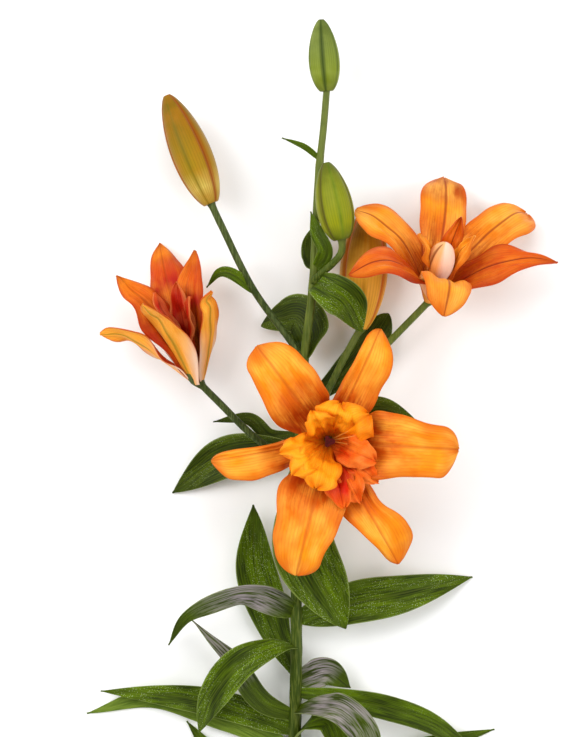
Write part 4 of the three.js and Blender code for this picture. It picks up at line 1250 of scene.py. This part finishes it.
petaloid("front_crown_lower", "front_petaloid_lower", front, (14, 225.5, 86), 24, 45, outline=BROAD)
petaloid("front_crown_lower_left", None, front, (0, 234, 84), 20, 44, blunt=0.45)
petaloid("front_crown_left", "front_petaloid_left", front, (-7.5, 247, 82), 17, 42, blunt=0.45)
petaloid("right_crown_left", None, right, (77, 381, 66), 12, 46, ribbed_orange, crumple=0.4)
petaloid("right_crown_right", None, right, (112, 380, 60), 13, 46, ribbed_orange, crumple=0.4)
petaloid("right_crown_upper", None, right, (104, 392, 52), 12, 44, burnt_orange, crumple=0.4)
petaloid("left_crown_upper", "left_petaloid", left, (-72, 352, 42), 15, 58, crown_dark_shaded, crumple=0.5)
petaloid("left_crown_left", None, left, (-86, 345, 50), 13, 52, crown_dark_shaded, crumple=0.5)
petaloid("left_crown_right", None, left, (-64, 343, 48), 13, 50, crown_dark_shaded, crumple=0.5)

cream_skin = bud_skin(
    "cream folded petaloid",
    [(0.0, "#6e2406"), (0.22, "#a0460c"), (0.42, "#d88a34"), (0.7, "#eca860"), (1.0, "#e6b888")],
    "#d8883c", "#7c3c14", "#e6a058", 0.6, one_side="#eec8b0",
)
bud(
    "right_flower_centre", "right_centre_petaloid", right["top"], (93.5, 375, 61), 8.4, 0.62, 0.4,
    cream_skin,
)

# Three stamens kept their shape: pale yellow filaments with no anther left.
filament_skin, tree, shader = new_material("pale yellow filament")
place = add(tree, "ShaderNodeAttribute", attribute_name="place")
spread = add(tree, "ShaderNodeSeparateXYZ", {0: place.outputs["Vector"]})
tint = add(
    tree, "ShaderNodeValToRGB", {"Fac": spread.outputs["Y"]},
    [(0.2, "#a8802a"), (0.7, "#d89440"), (1.0, "#e08a30")],
)
tree.links.new(tint.outputs["Color"], shader.inputs["Base Color"])
shader.inputs["Roughness"].default_value = 0.5
for i, (reach_out, heading) in enumerate([(13, 28), (16, 12), (11, -8)]):  # millimetres, degrees
    turned_to = math.radians(heading)
    outward = np.array([math.cos(turned_to), math.sin(turned_to), 0])
    stops = [(2.2, 8), (4.5, 24), (9, 33), (reach_out, 38)]
    points = [front["foot"] + outward * out + front["axis"] * up for out, up in stops]
    filament = grown_stalk(
        f"front_filament_{i + 1}", points, lambda share: 0.0, 40, filament_skin,
        Start_radius=0.0005, End_radius=0.0002, Swell=0.0, Rib_depth=0.0, Sides=12,
    )
    carry(filament)

pistil_skin, tree, shader = new_material("dark red pistil")
where = add(tree, "ShaderNodeTexCoord")
cloud = add(tree, "ShaderNodeTexNoise", {"Vector": where.outputs["Object"], "Scale": 900.0, "Detail": 3.0})
tint = add(tree, "ShaderNodeValToRGB", {"Fac": cloud.outputs["Fac"]}, [(0.35, "#2e0404"), (0.7, "#5a0c0c")])
tree.links.new(tint.outputs["Color"], shader.inputs["Base Color"])
shader.inputs["Roughness"].default_value = 0.5
shader.inputs["Specular IOR Level"].default_value = 0.1
# It stands on the receptacle, and its last seventh swells into a three-lobed stigma.
STIGMA_FROM = 0.86
low = front["foot"] + front["axis"] * RECEPTACLE_HEIGHT * 0.5
points = [low, front["foot"] + front["axis"] * 24, front["foot"] + front["axis"] * 40]
pistil = grown_stalk(
    "front_pistil", points, lambda share: 1.0 if share > STIGMA_FROM else 0.0, 40, pistil_skin,
    Start_radius=0.0009, End_radius=0.0009, Swell=0.0021, Ribs=3.0, Rib_depth=0.28, Sides=24,
)
carry(pistil, "pistil_front")
